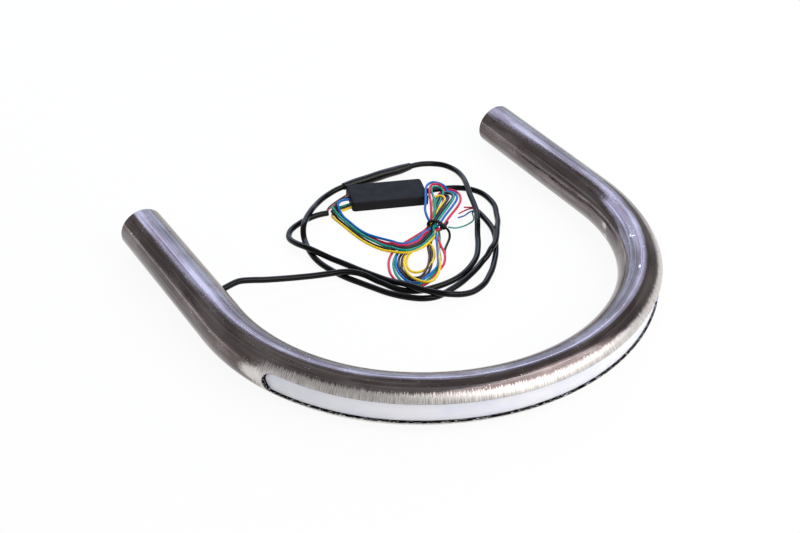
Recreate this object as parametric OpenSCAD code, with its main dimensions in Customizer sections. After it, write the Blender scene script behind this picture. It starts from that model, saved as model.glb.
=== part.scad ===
// Seat hoop with a milled LED strip window, its lead, splice, controller and tied wires.
// Origin: middle of the hoop on the surface it lies on. +Z up, the lit bend faces -Y, open ends face +Y.

/* [Hoop tube] */
// Outside diameter of the steel tube
tube_od = 22; // [20:1:26]
// Wall thickness of the tube
tube_wall = 2; // [1.5:0.5:2.5]
// Distance between the two arm centrelines
arm_spacing = 215; // [205:5:235]
// Length from the front of the bend to the arm ends
hoop_length = 197; // [190:1:230]
// Centreline radius of the two corners
corner_r = 95.5; // [90:0.5:98]
// Centreline radius of the flatter front
front_r = 115.5; // [112:0.5:125]

/* [Light window] */
// Height of the milled window
window_h = 10.5; // [9:0.5:11]
// Angle of the middle of each round window end, from the middle of the bend
slot_angle = 64.6; // [56:0.1:72]
// How far the diffuser face sits in from the tube's front line
diffuser_recess = 2.5; // [2:0.1:2.8]
// Number of LED packages along the strip
led_count = 48; // [36:3:60]
// Packages at each end that work as indicators
indicator_count = 9; // [6:3:12]

/* [Lead exit] */
// Diameter of the drilled hole for the lead
exit_hole_d = 8; // [6:0.5:9]
// Position of the hole along the left arm
exit_y = 36; // [30:1:45]
// Height angle of the hole above the tube's middle
exit_tilt = 8; // [0:1:15]

/* [Lead and wires] */
// Outside diameter of the black sheathed lead
lead_d = 3; // [2.5:0.1:3]
// Outside diameter of a coloured wire
wire_d = 1.3; // [1:0.1:1.3]
// Outside diameter of a thin core of the lead
core_d = 0.8; // [0.6:0.1:0.9]

/* [Controller] */
// Length of the controller case
case_l = 41; // [38:1:44]
// Width of the controller case
case_w = 19; // [17:0.2:20]
// Height of the controller case
case_h = 5; // [5:0.2:7]
// Direction of the case's long side
case_turn = -19.5; // [-22:0.5:-17]

/* [Hidden] */

tube_r = tube_od / 2;
bore_r = tube_r - tube_wall;
axis_z = tube_r;
half = arm_spacing / 2;
apex_y = tube_r - hoop_length / 2;
arm_end_y = hoop_length / 2;

// The front arc and each corner arc meet where their centres and the joint are in line
front_cy = apex_y + front_r;
corner_cx = half - corner_r;
corner_cy = front_cy - sqrt(pow(front_r - corner_r, 2) - pow(corner_cx, 2));
blend_angle = asin(corner_cx / (front_r - corner_r));
arm_l = arm_end_y - corner_cy;

// Window: its cutter reaches from inside the bore to outside the tube
slot_half = window_h / 2;
slot_round_r = slot_half + 0.05;
cut_in = bore_r - 3;
cut_out = tube_r + 1;

// Cross-section of the strip, as distances outwards from the tube's centreline
face_u = tube_r - diffuser_recess;
strip_back_u = 4.2;
backing_t = 0.8;
circuit_t = 0.25;
led_t = 0.8;
resistor_t = 0.45;
flange_half = 6.3;
flange_front_u = 6.2;
neck_u = 7.25;
pocket_half = 4.4;
pocket_front_u = 7.4;
circuit_half = 4;
strip_angle = slot_angle + 1.9;
pocket_angle = slot_angle + 0.4;
circuit_angle = slot_angle + 3.9;
circuit_u = strip_back_u + backing_t;
led_u = circuit_u + circuit_t;
led_w = 3.5;
led_h = 2.8;
resistor_w = 1.6;
resistor_h = 0.8;
brake_count = led_count - 2 * indicator_count;

// Arc length from the middle of the bend to an angle, measured on the circuit's line
front_line_r = front_r + circuit_u;
corner_line_r = corner_r + circuit_u;
front_arc = front_line_r * blend_angle * PI / 180;
strip_half_arc = front_arc + corner_line_r * (pocket_angle - blend_angle) * PI / 180;
led_pitch = 2 * strip_half_arc / (led_count + 0.5);

// Solder pads lie in two rows of three at the strip's left end
pad_rows = [-2.4, 0, 2.4];
pad_angles = [slot_angle + 2.3, slot_angle + 3.3];
pad_d = 1.3;
pad_h = 0.5;
core_end_angle = slot_angle + 6.4;

// Lead inside the tube, from the strip's end to the hole
inner_lead_route = [[-103, -20, 11], [-105, -13, 11], [-106.5, -5, 11], [-107.5, 4, 11], [-108, 13, 10.8],
    [-108, 21, 10.8], [-106.5, 28, 11.2], [-103, 32, 11.8], [-99.5, 33.3, 12.2], [-96.5, 34, 12.4]];

// Lead from the hole round the coil to the splice
strip_lead_route = [[-96.5, 34, 12.4], [-93, 35, 12.3], [-89, 36, 12.1], [-85.5, 36.5, 11.5],
    [-80, 36, 10.2], [-74, 35, 8.8], [-63, 33.5, 6.6], [-52, 31.2, 5.3], [-46, 29.8, 4.9],
    [-40.5, 28.4, 4.8], [-36.5, 27.1, 4.8], [-33, 25.5, 4.6], [-29.8, 23.4, 4.1], [-27, 21.1, 3.2],
    [-25, 18.7, 2.3], [-23.3, 16.2, 1.6], [-21.4, 12.8, 1.5], [-19.8, 9, 1.5], [-17.3, 5, 1.5],
    [-13.6, 1.7, 1.5], [-8.5, -0.5, 1.5], [-1.5, -1.5, 1.5], [6.5, -1.5, 1.5], [14.5, 0, 1.5],
    [22.5, 3.5, 1.5], [30.5, 9, 1.5], [37, 16.5, 1.6], [42, 24, 2.6], [46.5, 30.5, 4.4], [51, 37.5, 4.9],
    [54.5, 45, 4.9], [58, 53.5, 4.9], [61.8, 61.5, 4.8], [66, 71, 3.2], [67.5, 79.5, 2.2],
    [65.5, 86.8, 1.9], [61, 91, 2], [55.5, 93, 2.5], [51, 93.8, 2.7], [47.5, 94, 2.7]];

// Lead from the splice round the coil to the controller
controller_lead_route = [[4.5, 94.2, 2.7], [-0.5, 93.4, 2.6], [-5.5, 92, 2.4], [-11, 89.8, 2.3], [-17, 85.7, 3],
    [-22.5, 80.8, 4.5], [-28.5, 75.5, 4.8], [-33, 70.5, 4.6], [-35.5, 66.5, 3.2], [-37, 62.5, 1.8], [-39, 55, 1.5],
    [-40, 47.5, 1.5], [-39.5, 40.5, 1.5], [-37.5, 33, 1.5], [-34.5, 25.5, 1.5], [-30.5, 18, 1.5],
    [-27, 11.5, 1.5], [-23.5, 5.5, 1.5], [-18, -1, 1.5], [-11.5, -6, 1.5], [-4.5, -8, 1.5], [3.5, -6.8, 1.5],
    [11.5, -4.7, 1.5], [19.5, -1.5, 1.5], [25.5, 1.3, 1.5], [30.5, 4, 1.8], [34.5, 5.5, 3], [38, 7.5, 4.6],
    [43, 10.8, 4.7], [47.5, 15.5, 4.7], [52, 21, 4.4], [57.5, 27.5, 2.8], [62, 34.5, 1.8], [66, 41.5, 1.5],
    [67.5, 48.5, 1.5], [67, 55.5, 1.5], [63.5, 61.5, 1.5], [58.5, 65.5, 1.5], [52.5, 68, 1.6], [46, 69, 2.2],
    [40, 69.1, 2.8]];

// Supply lead from the open end of its sheath by the controller round the coil to its stripped end
supply_lead_route = [[-14.1, 78.1, 1.5], [-17, 78.7, 1.5], [-20.5, 79, 1.5], [-24.5, 78.7, 1.5],
    [-29.5, 77.7, 1.5], [-35.5, 75.5, 1.5], [-40, 72.5, 1.5], [-42.9, 67.5, 1.8], [-43.2, 60.5, 3.4],
    [-41.7, 53.8, 4.8], [-39.8, 49.9, 4.7], [-37, 46.2, 3.6], [-33.9, 42.4, 2.3], [-31, 38.3, 1.6],
    [-28.4, 33.2, 1.5], [-25.9, 27.8, 1.5], [-23.3, 22.9, 1.5], [-20.7, 18.1, 1.5], [-18.6, 14.2, 1.6],
    [-16.7, 10, 2.5], [-15.1, 5.6, 4], [-13.5, 1.3, 4.8], [-11.2, -2.9, 4.9], [-8, -6.6, 4.8],
    [-4.8, -9.8, 4.7], [-0.5, -12.4, 4.2], [5.5, -13.5, 2.6], [11.5, -13.5, 1.6], [16.5, -12.5, 1.5],
    [21.5, -10.5, 1.5], [26.5, -7, 1.5], [31.5, -3, 1.5], [36.5, 2, 1.5], [41, 7, 1.5], [45.5, 13, 1.5],
    [49.5, 19, 1.5], [52.5, 25.5, 1.5], [54, 32, 1.5], [54.7, 37.5, 1.5], [55, 41.5, 1.5]];

// Coloured wires from the controller through the fold and down to the tied hank
yellow_route = [[-0.6, 77.2, 1.2], [-4.5, 77.5, 0.7], [-8, 77.8, 0.7], [-11.2, 77.4, 0.7],
    [-13.2, 75.4, 0.7], [-13.3, 71.5, 0.7], [-12.7, 64.5, 0.7], [-12.2, 57.5, 0.7], [-11.3, 50.5, 0.7],
    [-9.5, 43.8, 0.7], [-6.8, 37.6, 0.9], [-4.6, 32.6, 2.2]];
black_route = [[-0.1, 78.6, 1.2], [-4, 79.1, 0.7], [-7.5, 79.4, 0.7], [-9.8, 79.4, 0.9], [-11.6, 78.7, 1.6],
    [-12.4, 76.8, 2.2], [-12.2, 74, 1.6], [-11.9, 71, 0.8], [-11.4, 64.5, 0.7], [-10.9, 57.5, 0.7],
    [-10, 50.6, 0.7], [-8.2, 44.2, 0.7], [-5.5, 38.5, 0.9], [-3.5, 34, 2.2]];
green_route = [[0.4, 80.1, 1.2], [-3.5, 80.7, 0.7], [-6.3, 81.1, 0.7], [-8.6, 81.4, 1.3],
    [-10.3, 80.5, 2.4], [-11.1, 77.7, 3], [-11.1, 74.5, 2.5], [-11, 71.5, 2], [-10.6, 64.5, 1.9],
    [-10.1, 57.5, 1.9], [-9, 50.8, 1.9], [-6.8, 44.6, 1.7], [-4.3, 39.4, 1.3], [-2.4, 35.4, 2.2]];
brown_route = [[1.7, 83.7, 3.2], [-2.5, 83.2, 3.3], [-5.8, 82.2, 3.4], [-8.2, 80.3, 3.2], [-9.5, 77.6, 2.5],
    [-10, 74, 1.1], [-9.9, 71, 0.7], [-9.7, 65.5, 0.7], [-9.3, 58, 0.7], [-8.2, 51.5, 0.7],
    [-5.9, 45.4, 0.7], [-3.3, 40.3, 0.9], [-1.4, 36.8, 2.2]];
red_route = [[2.2, 85.1, 2.4], [-1.8, 84.6, 1.7], [-4.2, 83.6, 1.5], [-6, 82.3, 1.9], [-7, 80.5, 2.2],
    [-7.7, 78.2, 2.1], [-8.3, 75, 1.1], [-8.6, 72, 0.7], [-8.3, 65.5, 0.7], [-7.9, 58.5, 0.7],
    [-6.7, 52.2, 0.7], [-4.4, 46.2, 0.7], [-1.9, 41.4, 0.9], [-0.2, 38, 2.2]];
blue_route = [[1.1, 81.9, 2.9], [-3, 81.6, 3.8], [-5.8, 80.6, 4.3], [-7.8, 78.9, 4.1], [-8.8, 76.3, 3.4],
    [-9.3, 71.5, 2.1], [-9, 64.5, 2], [-8.5, 58, 2], [-7.2, 52.3, 2], [-4.7, 47.6, 2], [-1.6, 43, 2.1],
    [0.8, 39.3, 2.3]];

// Thin cores: four from the lead's stripped end back to the hank, two from its other end to the controller
core_routes = [
    [[55.5, 41.5, 1.9], [55.6, 43.2, 1.9], [54.8, 45.4, 1.7], [52.9, 46.9, 1.6], [50.5, 47.6, 2]],
    [[54.6, 41.5, 2.1], [54.4, 43, 2.25], [53.1, 44.4, 2.3], [50, 44.9, 2.1], [44.5, 43.9, 2.2]],
    [[54.5, 41.5, 1.2], [54.1, 42.6, 1.35], [52.9, 43.5, 1.3], [50.5, 43.3, 1.1], [47, 42.4, 0.9],
        [42.5, 41.6, 1.6]],
    [[55.4, 41.5, 1], [55.2, 42.7, 0.7], [54.2, 43.5, 0.45], [52.8, 43.1, 0.4], [51.9, 41.3, 0.4],
        [50.6, 38.8, 0.4], [48.6, 36.9, 0.4], [45, 35.7, 0.4], [41, 35.2, 0.5], [36.6, 35.8, 0.6],
        [33.4, 37.6, 1.2]],
    [[-14.1, 78.7, 1.9], [-13.1, 79.7, 1.7], [-11.9, 81.2, 1], [-9.3, 83.1, 0.5], [-6, 84.7, 0.4], [-2.5, 86, 0.5],
        [2.6, 86.6, 1.5]],
    [[-14.1, 79, 1.1], [-13.3, 80.9, 0.6], [-11.5, 82.9, 0.4], [-8.9, 84.6, 0.4], [-5.6, 86.1, 0.4],
        [-2, 87.4, 0.5], [3.1, 88, 1.5]]];

// Splice sleeve as [distance along it, radius]: a swollen middle between two tight ends
sleeve_start = [4.5, 94.2, 2.7];
sleeve_end = [47.5, 94, 2.7];
sleeve_bulge = [[0, 1.9], [2, 2], [7, 2.1], [14, 2.3], [22, 2.5], [29, 2.6], [34, 2.65], [38, 2.3], [41, 1.9]];

// Controller
case_centre = [21.2, 76.7];
case_wall = 1.2;
case_corner_r = 1.6;
case_edge_r = 1;
base_t = 1;
rest_h = 0.6;
board_t = 0.8;
board_l = case_l - 2 * case_wall - 2;
board_w = case_w - 2 * case_wall - 1;
board_z = base_t + rest_h;
chip_z = board_z + board_t;

// Tied hank: height of the flattened lobes and of the waist that the tie holds
lobe_h = 4.4;
waist_h = 4.8;
tie_centre = [26.6, 39.6];
tie_turn = 34;
tie_w = 2.6;
tie_wall = 0.9;
waist_w = 7;
tie_strand_d = 1.3;
tie_tail_down = [[28.9, 36.1, 3.5], [30.1, 34.1, 3.3], [30, 31.8, 2.2], [28.4, 29.3, 1.2],
    [25.6, 26.8, 0.7], [22.6, 24.2, 0.7], [20.4, 22, 0.7], [19.2, 20, 0.7]];
tie_tail_up = [[29.3, 36.6, 3.9], [31.2, 37, 3.8], [33, 38.4, 3.2], [34.6, 40, 2.4]];

cord_fn = 8;
arc_fn = 180;
round_fn = 64;

// Point and direction helpers for the swept cords
function unit(v) = v / norm(v);
function lerp(a, b, t) = a + (b - a) * t;

// Smooth curve through the route's points, two steps between neighbours
function spline_at(a, b, c, d, t) =
    0.5 * (2 * b + (c - a) * t + (2 * a - 5 * b + 4 * c - d) * t * t + (3 * b - a - 3 * c + d) * t * t * t);
function smooth(route, steps) =
    let (n = len(route))
    [for (i = [0:n - 2], s = [0:steps - 1])
        spline_at(route[max(i - 1, 0)], route[i], route[i + 1], route[min(i + 2, n - 1)], s / steps),
        route[n - 1]];

// One closed tube of flat facets along a line of points, its rings square to the line
module cord(route, d, steps = 2) {
    line = smooth(route, steps);
    n = len(line);
    ring = [for (i = [0:n - 1])
        let (
            ahead = unit(line[min(i + 1, n - 1)] - line[max(i - 1, 0)]),
            side = unit(cross(ahead, [0, 0, 1])),
            up = cross(side, ahead)
        )
        [for (k = [0:cord_fn - 1])
            line[i] + (side * cos((k + 0.5) * 360 / cord_fn) + up * sin((k + 0.5) * 360 / cord_fn)) * d / 2]];
    points = [for (r = ring) for (p = r) p];
    walls = [for (i = [0:n - 2], k = [0:cord_fn - 1])
        let (m = (k + 1) % cord_fn)
        [i * cord_fn + k, i * cord_fn + m, (i + 1) * cord_fn + m, (i + 1) * cord_fn + k]];
    start_cap = [for (k = [cord_fn - 1:-1:0]) k];
    end_cap = [for (k = [0:cord_fn - 1]) (n - 1) * cord_fn + k];
    polyhedron(points, concat([start_cap], walls, [end_cap]), convexity = 8);
}

// Sweep a profile round one arc of the hoop, from angle a0 to a1, counted from -Y towards +X
module sweep_arc(cx, cy, r, a0, a1) {
    translate([cx, cy, axis_z])
        rotate_extrude(start = a0 - 90, angle = a1 - a0, $fn = arc_fn)
            translate([r, 0])
                children();
}

// Half-space before or after the plane in which the front arc and the right corner arc meet
module blend_side(after) {
    translate([0, front_cy, axis_z])
        rotate([0, 0, blend_angle - 90])
            translate([0, after ? 0 : -300, -50])
                cube([300, 300, 100]);
}

// Sweep a profile along the whole bend up to an angle on each side
module sweep_bend(end_angle) {
    for (side = [0, 1])
        mirror([side, 0, 0]) {
            intersection() {
                sweep_arc(0, front_cy, front_r, 0, blend_angle + 1)
                    children();
                blend_side(false);
            }
            intersection() {
                sweep_arc(corner_cx, corner_cy, corner_r, blend_angle - 1, end_angle)
                    children();
                blend_side(true);
            }
        }
}

// Put something at an angle on the right corner arc, its X axis pointing outwards
module at_corner(angle, u) {
    translate([sign(angle) * corner_cx, corner_cy, axis_z])
        rotate([0, 0, angle - 90])
            translate([corner_r + u, 0, 0])
                children();
}

// Put something at a distance along the circuit from the middle of the bend
module at_strip(s, u) {
    turn = abs(s) < front_arc
        ? abs(s) / front_line_r * 180 / PI
        : blend_angle + (abs(s) - front_arc) / corner_line_r * 180 / PI;
    if (abs(s) < front_arc)
        translate([0, front_cy, axis_z])
            rotate([0, 0, sign(s) * turn - 90])
                translate([front_r + u, 0, 0])
                    children();
    else
        at_corner(sign(s) * turn, u)
            children();
}

module tube_section() {
    difference() {
        circle(tube_r, $fn = round_fn);
        circle(bore_r, $fn = round_fn);
    }
}

// Round-ended window of the bend, between two depths
module window_shape(u0, u1) {
    sweep_bend(slot_angle)
        translate([u0, -slot_half])
            square([u1 - u0, window_h]);
    for (side = [-1, 1])
        at_corner(side * slot_angle, u0)
            rotate([0, 90, 0])
                cylinder(r = slot_round_r, h = u1 - u0, $fn = round_fn);
}

module window_end(side) {
    at_corner(side * slot_angle, cut_in)
        rotate([0, 90, 0])
            cylinder(r = slot_round_r, h = cut_out - cut_in, $fn = round_fn);
}

module exit_hole() {
    translate([-half, exit_y, axis_z])
        rotate([0, -exit_tilt, 0])
            rotate([0, 90, 0])
                cylinder(d = exit_hole_d, h = tube_od, $fn = round_fn);
}

module slotted_section() {
    difference() {
        tube_section();
        translate([cut_in, -slot_half])
            square([cut_out - cut_in, window_h]);
    }
}

module hoop_tube() {
    color("#56504f")
        difference() {
            union() {
                sweep_bend(slot_angle)
                    slotted_section();
                for (side = [0, 1])
                    mirror([side, 0, 0]) {
                        sweep_arc(corner_cx, corner_cy, corner_r, slot_angle, 90)
                            tube_section();
                        translate([half, corner_cy, axis_z])
                            rotate([-90, 0, 0])
                                linear_extrude(arm_l)
                                    tube_section();
                    }
            }
            window_end(-1);
            window_end(1);
            exit_hole();
        }
}

// Milky silicone profile: flanges behind the window, a tongue in it and a pocket for the circuit
module light_diffuser() {
    color("#eef1f6")
        difference() {
            union() {
                sweep_bend(strip_angle)
                    polygon([[strip_back_u, -flange_half], [flange_front_u, -flange_half],
                        [neck_u, -slot_half], [neck_u, slot_half], [flange_front_u, flange_half],
                        [strip_back_u, flange_half]]);
                window_shape(neck_u - 0.5, face_u);
            }
            sweep_bend(pocket_angle)
                translate([strip_back_u - 1, -pocket_half])
                    square([pocket_front_u - strip_back_u + 1, 2 * pocket_half]);
            for (side = [-1, 1])
                at_corner(side * (strip_angle + pocket_angle) / 2, strip_back_u)
                    cube([2 * (backing_t + circuit_t), 4, 2 * pocket_half], center = true);
        }
}

module strip_backing() {
    color("#d9d9d4")
        sweep_bend(strip_angle)
            translate([strip_back_u, -pocket_half])
                square([backing_t, 2 * pocket_half]);
}

module led_circuit() {
    color("#e8e6dc")
        sweep_bend(circuit_angle)
            translate([circuit_u, -circuit_half])
                square([circuit_t, 2 * circuit_half]);
}

module led_package() {
    translate([0, -led_w / 2, -led_h / 2])
        cube([led_t, led_w, led_h]);
}

module brake_leds() {
    color("#e23b2e")
        for (i = [0:brake_count - 1])
            at_strip((i - (brake_count - 1) / 2) * led_pitch, led_u)
                led_package();
}

module indicator_leds() {
    color("#e8a53a")
        for (side = [-1, 1], i = [0:indicator_count - 1])
            at_strip(side * ((brake_count + 1) / 2 + i) * led_pitch, led_u)
                led_package();
}

// One chip resistor for each group of three packages, above the gap between two of them
module strip_resistors() {
    color("#2b2b2e")
        for (i = [0:led_count / 3 - 1])
            at_strip((3 * i - led_count / 2 + 1) * led_pitch, led_u)
                translate([0, -resistor_w / 2, led_h / 2 + 0.6 - resistor_h / 2])
                    cube([resistor_t, resistor_w, resistor_h]);
}

module solder_pads() {
    color("#c9ccd0")
        for (a = pad_angles, z = pad_rows)
            at_corner(-a, led_u)
                translate([0, 0, z])
                    rotate([0, 90, 0])
                        cylinder(d = pad_d, h = pad_h, $fn = 24);
}

// Bare core ends from the pads to the end of the inner lead's sheath
module strip_cores() {
    color("#c46a3a")
        for (z = pad_rows)
            sweep_arc(-corner_cx, corner_cy, corner_r, -core_end_angle, -pad_angles[0])
                translate([led_u + pad_h + core_d / 2, z])
                    circle(d = core_d, $fn = 24);
}

module inner_lead() {
    color("#1f1f21")
        cord(inner_lead_route, lead_d);
}

module strip_lead() {
    color("#232325")
        cord(strip_lead_route, lead_d);
}

module controller_lead() {
    color("#232325")
        cord(controller_lead_route, lead_d);
}

module supply_lead() {
    color("#232325")
        cord(supply_lead_route, lead_d);
}

// Shrunk tubing over the joint between the two leads
module splice_sleeve() {
    reach = sleeve_end - sleeve_start;
    sleeve_l = norm(reach);
    color("#1c1c1f")
        translate(sleeve_start)
            rotate([0, 90, atan2(reach[1], reach[0])])
                rotate_extrude($fn = 48)
                    polygon(concat([[0, 0]], [for (p = sleeve_bulge) [p[1], p[0]]],
                        [[lead_d / 2 + 0.3, sleeve_l], [0, sleeve_l]]));
}

module in_case() {
    translate([case_centre[0], case_centre[1], 0])
        rotate([0, 0, case_turn])
            children();
}

// Block with rounded upright corners and a rounded top edge
module soft_block(l, w, h, corner, edge) {
    hull()
        for (x = [-1, 1], y = [-1, 1])
            translate([x * (l / 2 - corner), y * (w / 2 - corner), 0]) {
                cylinder(r = corner, h = h - edge, $fn = 32);
                translate([0, 0, h - edge])
                    cylinder(r1 = corner, r2 = corner - edge * 0.8, h = edge, $fn = 32);
            }
}

module case_plate(inset, z, h) {
    translate([-case_l / 2 + inset, -case_w / 2 + inset, z])
        cube([case_l - 2 * inset, case_w - 2 * inset, h]);
}

module controller_case() {
    color("#2e2f33")
        in_case()
            difference() {
                soft_block(case_l, case_w, case_h, case_corner_r, case_edge_r);
                case_plate(case_wall, -1, case_h + 1 - case_wall);
            }
}

module controller_base() {
    color("#26272a")
        in_case()
            union() {
                case_plate(case_wall, 0, base_t);
                for (x = [-1, 1], y = [-1, 1])
                    translate([x * (board_l / 2 - 2) - 1, y * (board_w / 2 - 1.5) - 1, base_t])
                        cube([2, 2, rest_h]);
            }
}

module controller_board() {
    color("#1f6b3a")
        in_case()
            translate([-board_l / 2, -board_w / 2, board_z])
                cube([board_l, board_w, board_t]);
}

// Processor and three driver transistors
module controller_chips() {
    color("#18181a")
        in_case()
            translate([0, 0, chip_z]) {
                translate([-8, -2.5, 0])
                    cube([5, 4, 1.2]);
                for (x = [3, 8, 13])
                    translate([x, -1.5, 0])
                        cube([2.9, 2.8, 1.1]);
            }
}

module controller_resistors() {
    color("#3a3a3d")
        in_case()
            for (x = [-14:3.5:14])
                translate([x, 3.6, chip_z])
                    cube([1.6, 0.8, 0.45]);
}

// Ends of the thin cores where the sheath ends
module supply_cores() {
    color("#7a1f36")
        for (route = core_routes)
            cord(route, core_d);
}

module wire_yellow() {
    color("#f2d24a")
        cord(yellow_route, wire_d);
}

module wire_black() {
    color("#1a1a1a")
        cord(black_route, wire_d);
}

module wire_green() {
    color("#1e9a72")
        cord(green_route, wire_d);
}

module wire_brown() {
    color("#4a2418")
        cord(brown_route, wire_d);
}

module wire_red() {
    color("#d83a5a")
        cord(red_route, wire_d);
}

module wire_blue() {
    color("#2a6fd0")
        cord(blue_route, wire_d);
}

// Flat lobe with round ends between two places, given as [x, y, radius]
module lobe(a, b, h) {
    linear_extrude(h)
        hull()
            for (p = [a, b])
                translate([p[0], p[1]])
                    circle(p[2], $fn = 32);
}

// Folded wires held by the tie: two upper lobes, an open lower lobe and the run beside the ribbon
module hank_lobes() {
    lobe([-1, 34.5, 3.4], [11, 31.5, 3.6], lobe_h);
    lobe([11, 31.5, 3.6], [24, 38, 3.4], lobe_h);
    lobe([23.6, 37.6, 3.6], [29.6, 41.6, 3.6], waist_h + tie_wall);
    lobe([29, 42.5, 3.2], [49.5, 55.5, 4.6], lobe_h);
    lobe([28.5, 43, 2.6], [44.2, 62.6, 3.8], lobe_h);
    difference() {
        union() {
            lobe([22, 32.5, 3], [12, 18, 3.6], lobe_h);
            lobe([-2, 13, 10.4], [6, 17, 9.4], lobe_h);
            lobe([-4, 19, 9.6], [3, 25, 6], lobe_h);
        }
        translate([0, 0, -1])
            lobe([-0.6, 18.6, 4.4], [5, 21, 4.4], lobe_h + 2);
    }
}

// The tie squeezes the hank: a narrow waist stands in the gap that the tie takes
module wire_hank() {
    color("#2a8fb0")
        union() {
            difference() {
                hank_lobes();
                at_tie()
                    cube([30, 16, tie_w + 0.2], center = true);
            }
            at_tie()
                tie_loop(waist_w - 0.1, waist_h - 0.1, tie_w + 2);
        }
}

// Put something at the waist, its Z axis along the wires and its X axis down
module at_tie() {
    translate([tie_centre[0], tie_centre[1], tie_wall + waist_h / 2])
        rotate([0, 0, tie_turn])
            rotate([0, 90, 0])
                children();
}

module tie_loop(w, h, l) {
    linear_extrude(l, center = true)
        hull()
            for (y = [-1, 1])
                translate([0, y * (w - h) / 2])
                    circle(d = h, $fn = 32);
}

module twist_tie() {
    color("#242126") {
        at_tie()
            difference() {
                tie_loop(waist_w + 2 * tie_wall, waist_h + 2 * tie_wall, tie_w);
                tie_loop(waist_w, waist_h, 2 * tie_w);
            }
        cord(tie_tail_down, tie_strand_d);
        cord(tie_tail_up, tie_strand_d);
    }
}

hoop_tube();
light_diffuser();
strip_backing();
led_circuit();
brake_leds();
indicator_leds();
strip_resistors();
solder_pads();
strip_cores();
inner_lead();
strip_lead();
splice_sleeve();
controller_lead();
controller_case();
controller_base();
controller_board();
controller_chips();
controller_resistors();
supply_lead();
supply_cores();
wire_yellow();
wire_black();
wire_green();
wire_brown();
wire_red();
wire_blue();
wire_hank();
twist_tie();
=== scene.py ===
"""Looks of a steel seat hoop with a light strip, its leads, controller and tied wires.

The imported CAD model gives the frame, in metres: +Z up, the lit bend faces -Y and the open ends
face +Y. Every length in this file is in millimetres unless its name ends in _m.
"""

from __future__ import annotations

import logging
import math
from dataclasses import dataclass
from enum import Enum
from typing import Sequence, Union

import bmesh
import bpy
import numpy as np
from mathutils import Matrix, Vector


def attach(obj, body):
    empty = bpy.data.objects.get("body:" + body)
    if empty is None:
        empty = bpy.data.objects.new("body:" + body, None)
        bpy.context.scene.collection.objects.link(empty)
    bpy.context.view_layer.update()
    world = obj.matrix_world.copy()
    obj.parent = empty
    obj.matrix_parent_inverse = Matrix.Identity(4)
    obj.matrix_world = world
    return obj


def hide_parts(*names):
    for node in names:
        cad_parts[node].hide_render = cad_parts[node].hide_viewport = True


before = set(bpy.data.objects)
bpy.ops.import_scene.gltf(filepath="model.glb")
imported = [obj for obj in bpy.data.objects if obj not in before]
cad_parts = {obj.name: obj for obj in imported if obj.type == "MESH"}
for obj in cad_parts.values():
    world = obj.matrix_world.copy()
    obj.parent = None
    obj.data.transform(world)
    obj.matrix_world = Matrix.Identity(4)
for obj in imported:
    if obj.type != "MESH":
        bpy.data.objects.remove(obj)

LOG = logging.getLogger("hoop_scene")

MM = 0.001
UP = np.array([0.0, 0.0, 1.0])
BODY = "root"

Point = tuple[float, float, float]
Route = Sequence[Point]
Curve = tuple[tuple[float, ...], tuple[float, ...]]
Material = bpy.types.Material
Piece = bpy.types.Object
Socket = bpy.types.NodeSocket
Value = Union[float, str, Sequence[float], bpy.types.NodeSocket]

# Lead routes, repeated from the CAD source
STRIP_LEAD: Route = (
    (-96.5, 34, 12.4), (-93, 35, 12.3), (-89, 36, 12.1), (-85.5, 36.5, 11.5), (-80, 36, 10.2),
    (-74, 35, 8.8), (-63, 33.5, 6.6), (-52, 31.2, 5.3), (-46, 29.8, 4.9), (-40.5, 28.4, 4.8),
    (-36.5, 27.1, 4.8), (-33, 25.5, 4.6), (-29.8, 23.4, 4.1), (-27, 21.1, 3.2), (-25, 18.7, 2.3),
    (-23.3, 16.2, 1.6), (-21.4, 12.8, 1.5), (-19.8, 9, 1.5), (-17.3, 5, 1.5), (-13.6, 1.7, 1.5),
    (-8.5, -0.5, 1.5), (-1.5, -1.5, 1.5), (6.5, -1.5, 1.5), (14.5, 0, 1.5), (22.5, 3.5, 1.5),
    (30.5, 9, 1.5), (37, 16.5, 1.6), (42, 24, 2.6), (46.5, 30.5, 4.4), (51, 37.5, 4.9),
    (54.5, 45, 4.9), (58, 53.5, 4.9), (61.8, 61.5, 4.8), (66, 71, 3.2), (67.5, 79.5, 2.2),
    (65.5, 86.8, 1.9), (61, 91, 2), (55.5, 93, 2.5), (51, 93.8, 2.7), (47.5, 94, 2.7),
)
CONTROLLER_LEAD: Route = (
    (4.5, 94.2, 2.7), (-0.5, 93.4, 2.6), (-5.5, 92, 2.4), (-11, 89.8, 2.3), (-17, 85.7, 3),
    (-22.5, 80.8, 4.5), (-28.5, 75.5, 4.8), (-33, 70.5, 4.6), (-35.5, 66.5, 3.2), (-37, 62.5, 1.8),
    (-39, 55, 1.5), (-40, 47.5, 1.5), (-39.5, 40.5, 1.5), (-37.5, 33, 1.5), (-34.5, 25.5, 1.5),
    (-30.5, 18, 1.5), (-27, 11.5, 1.5), (-23.5, 5.5, 1.5), (-18, -1, 1.5), (-11.5, -6, 1.5),
    (-4.5, -8, 1.5), (3.5, -6.8, 1.5), (11.5, -4.7, 1.5), (19.5, -1.5, 1.5), (25.5, 1.3, 1.5),
    (30.5, 4, 1.8), (34.5, 5.5, 3), (38, 7.5, 4.6), (43, 10.8, 4.7), (47.5, 15.5, 4.7),
    (52, 21, 4.4), (57.5, 27.5, 2.8), (62, 34.5, 1.8), (66, 41.5, 1.5), (67.5, 48.5, 1.5),
    (67, 55.5, 1.5), (63.5, 61.5, 1.5), (58.5, 65.5, 1.5), (52.5, 68, 1.6), (46, 69, 2.2),
    (40, 69.1, 2.8),
)
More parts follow.
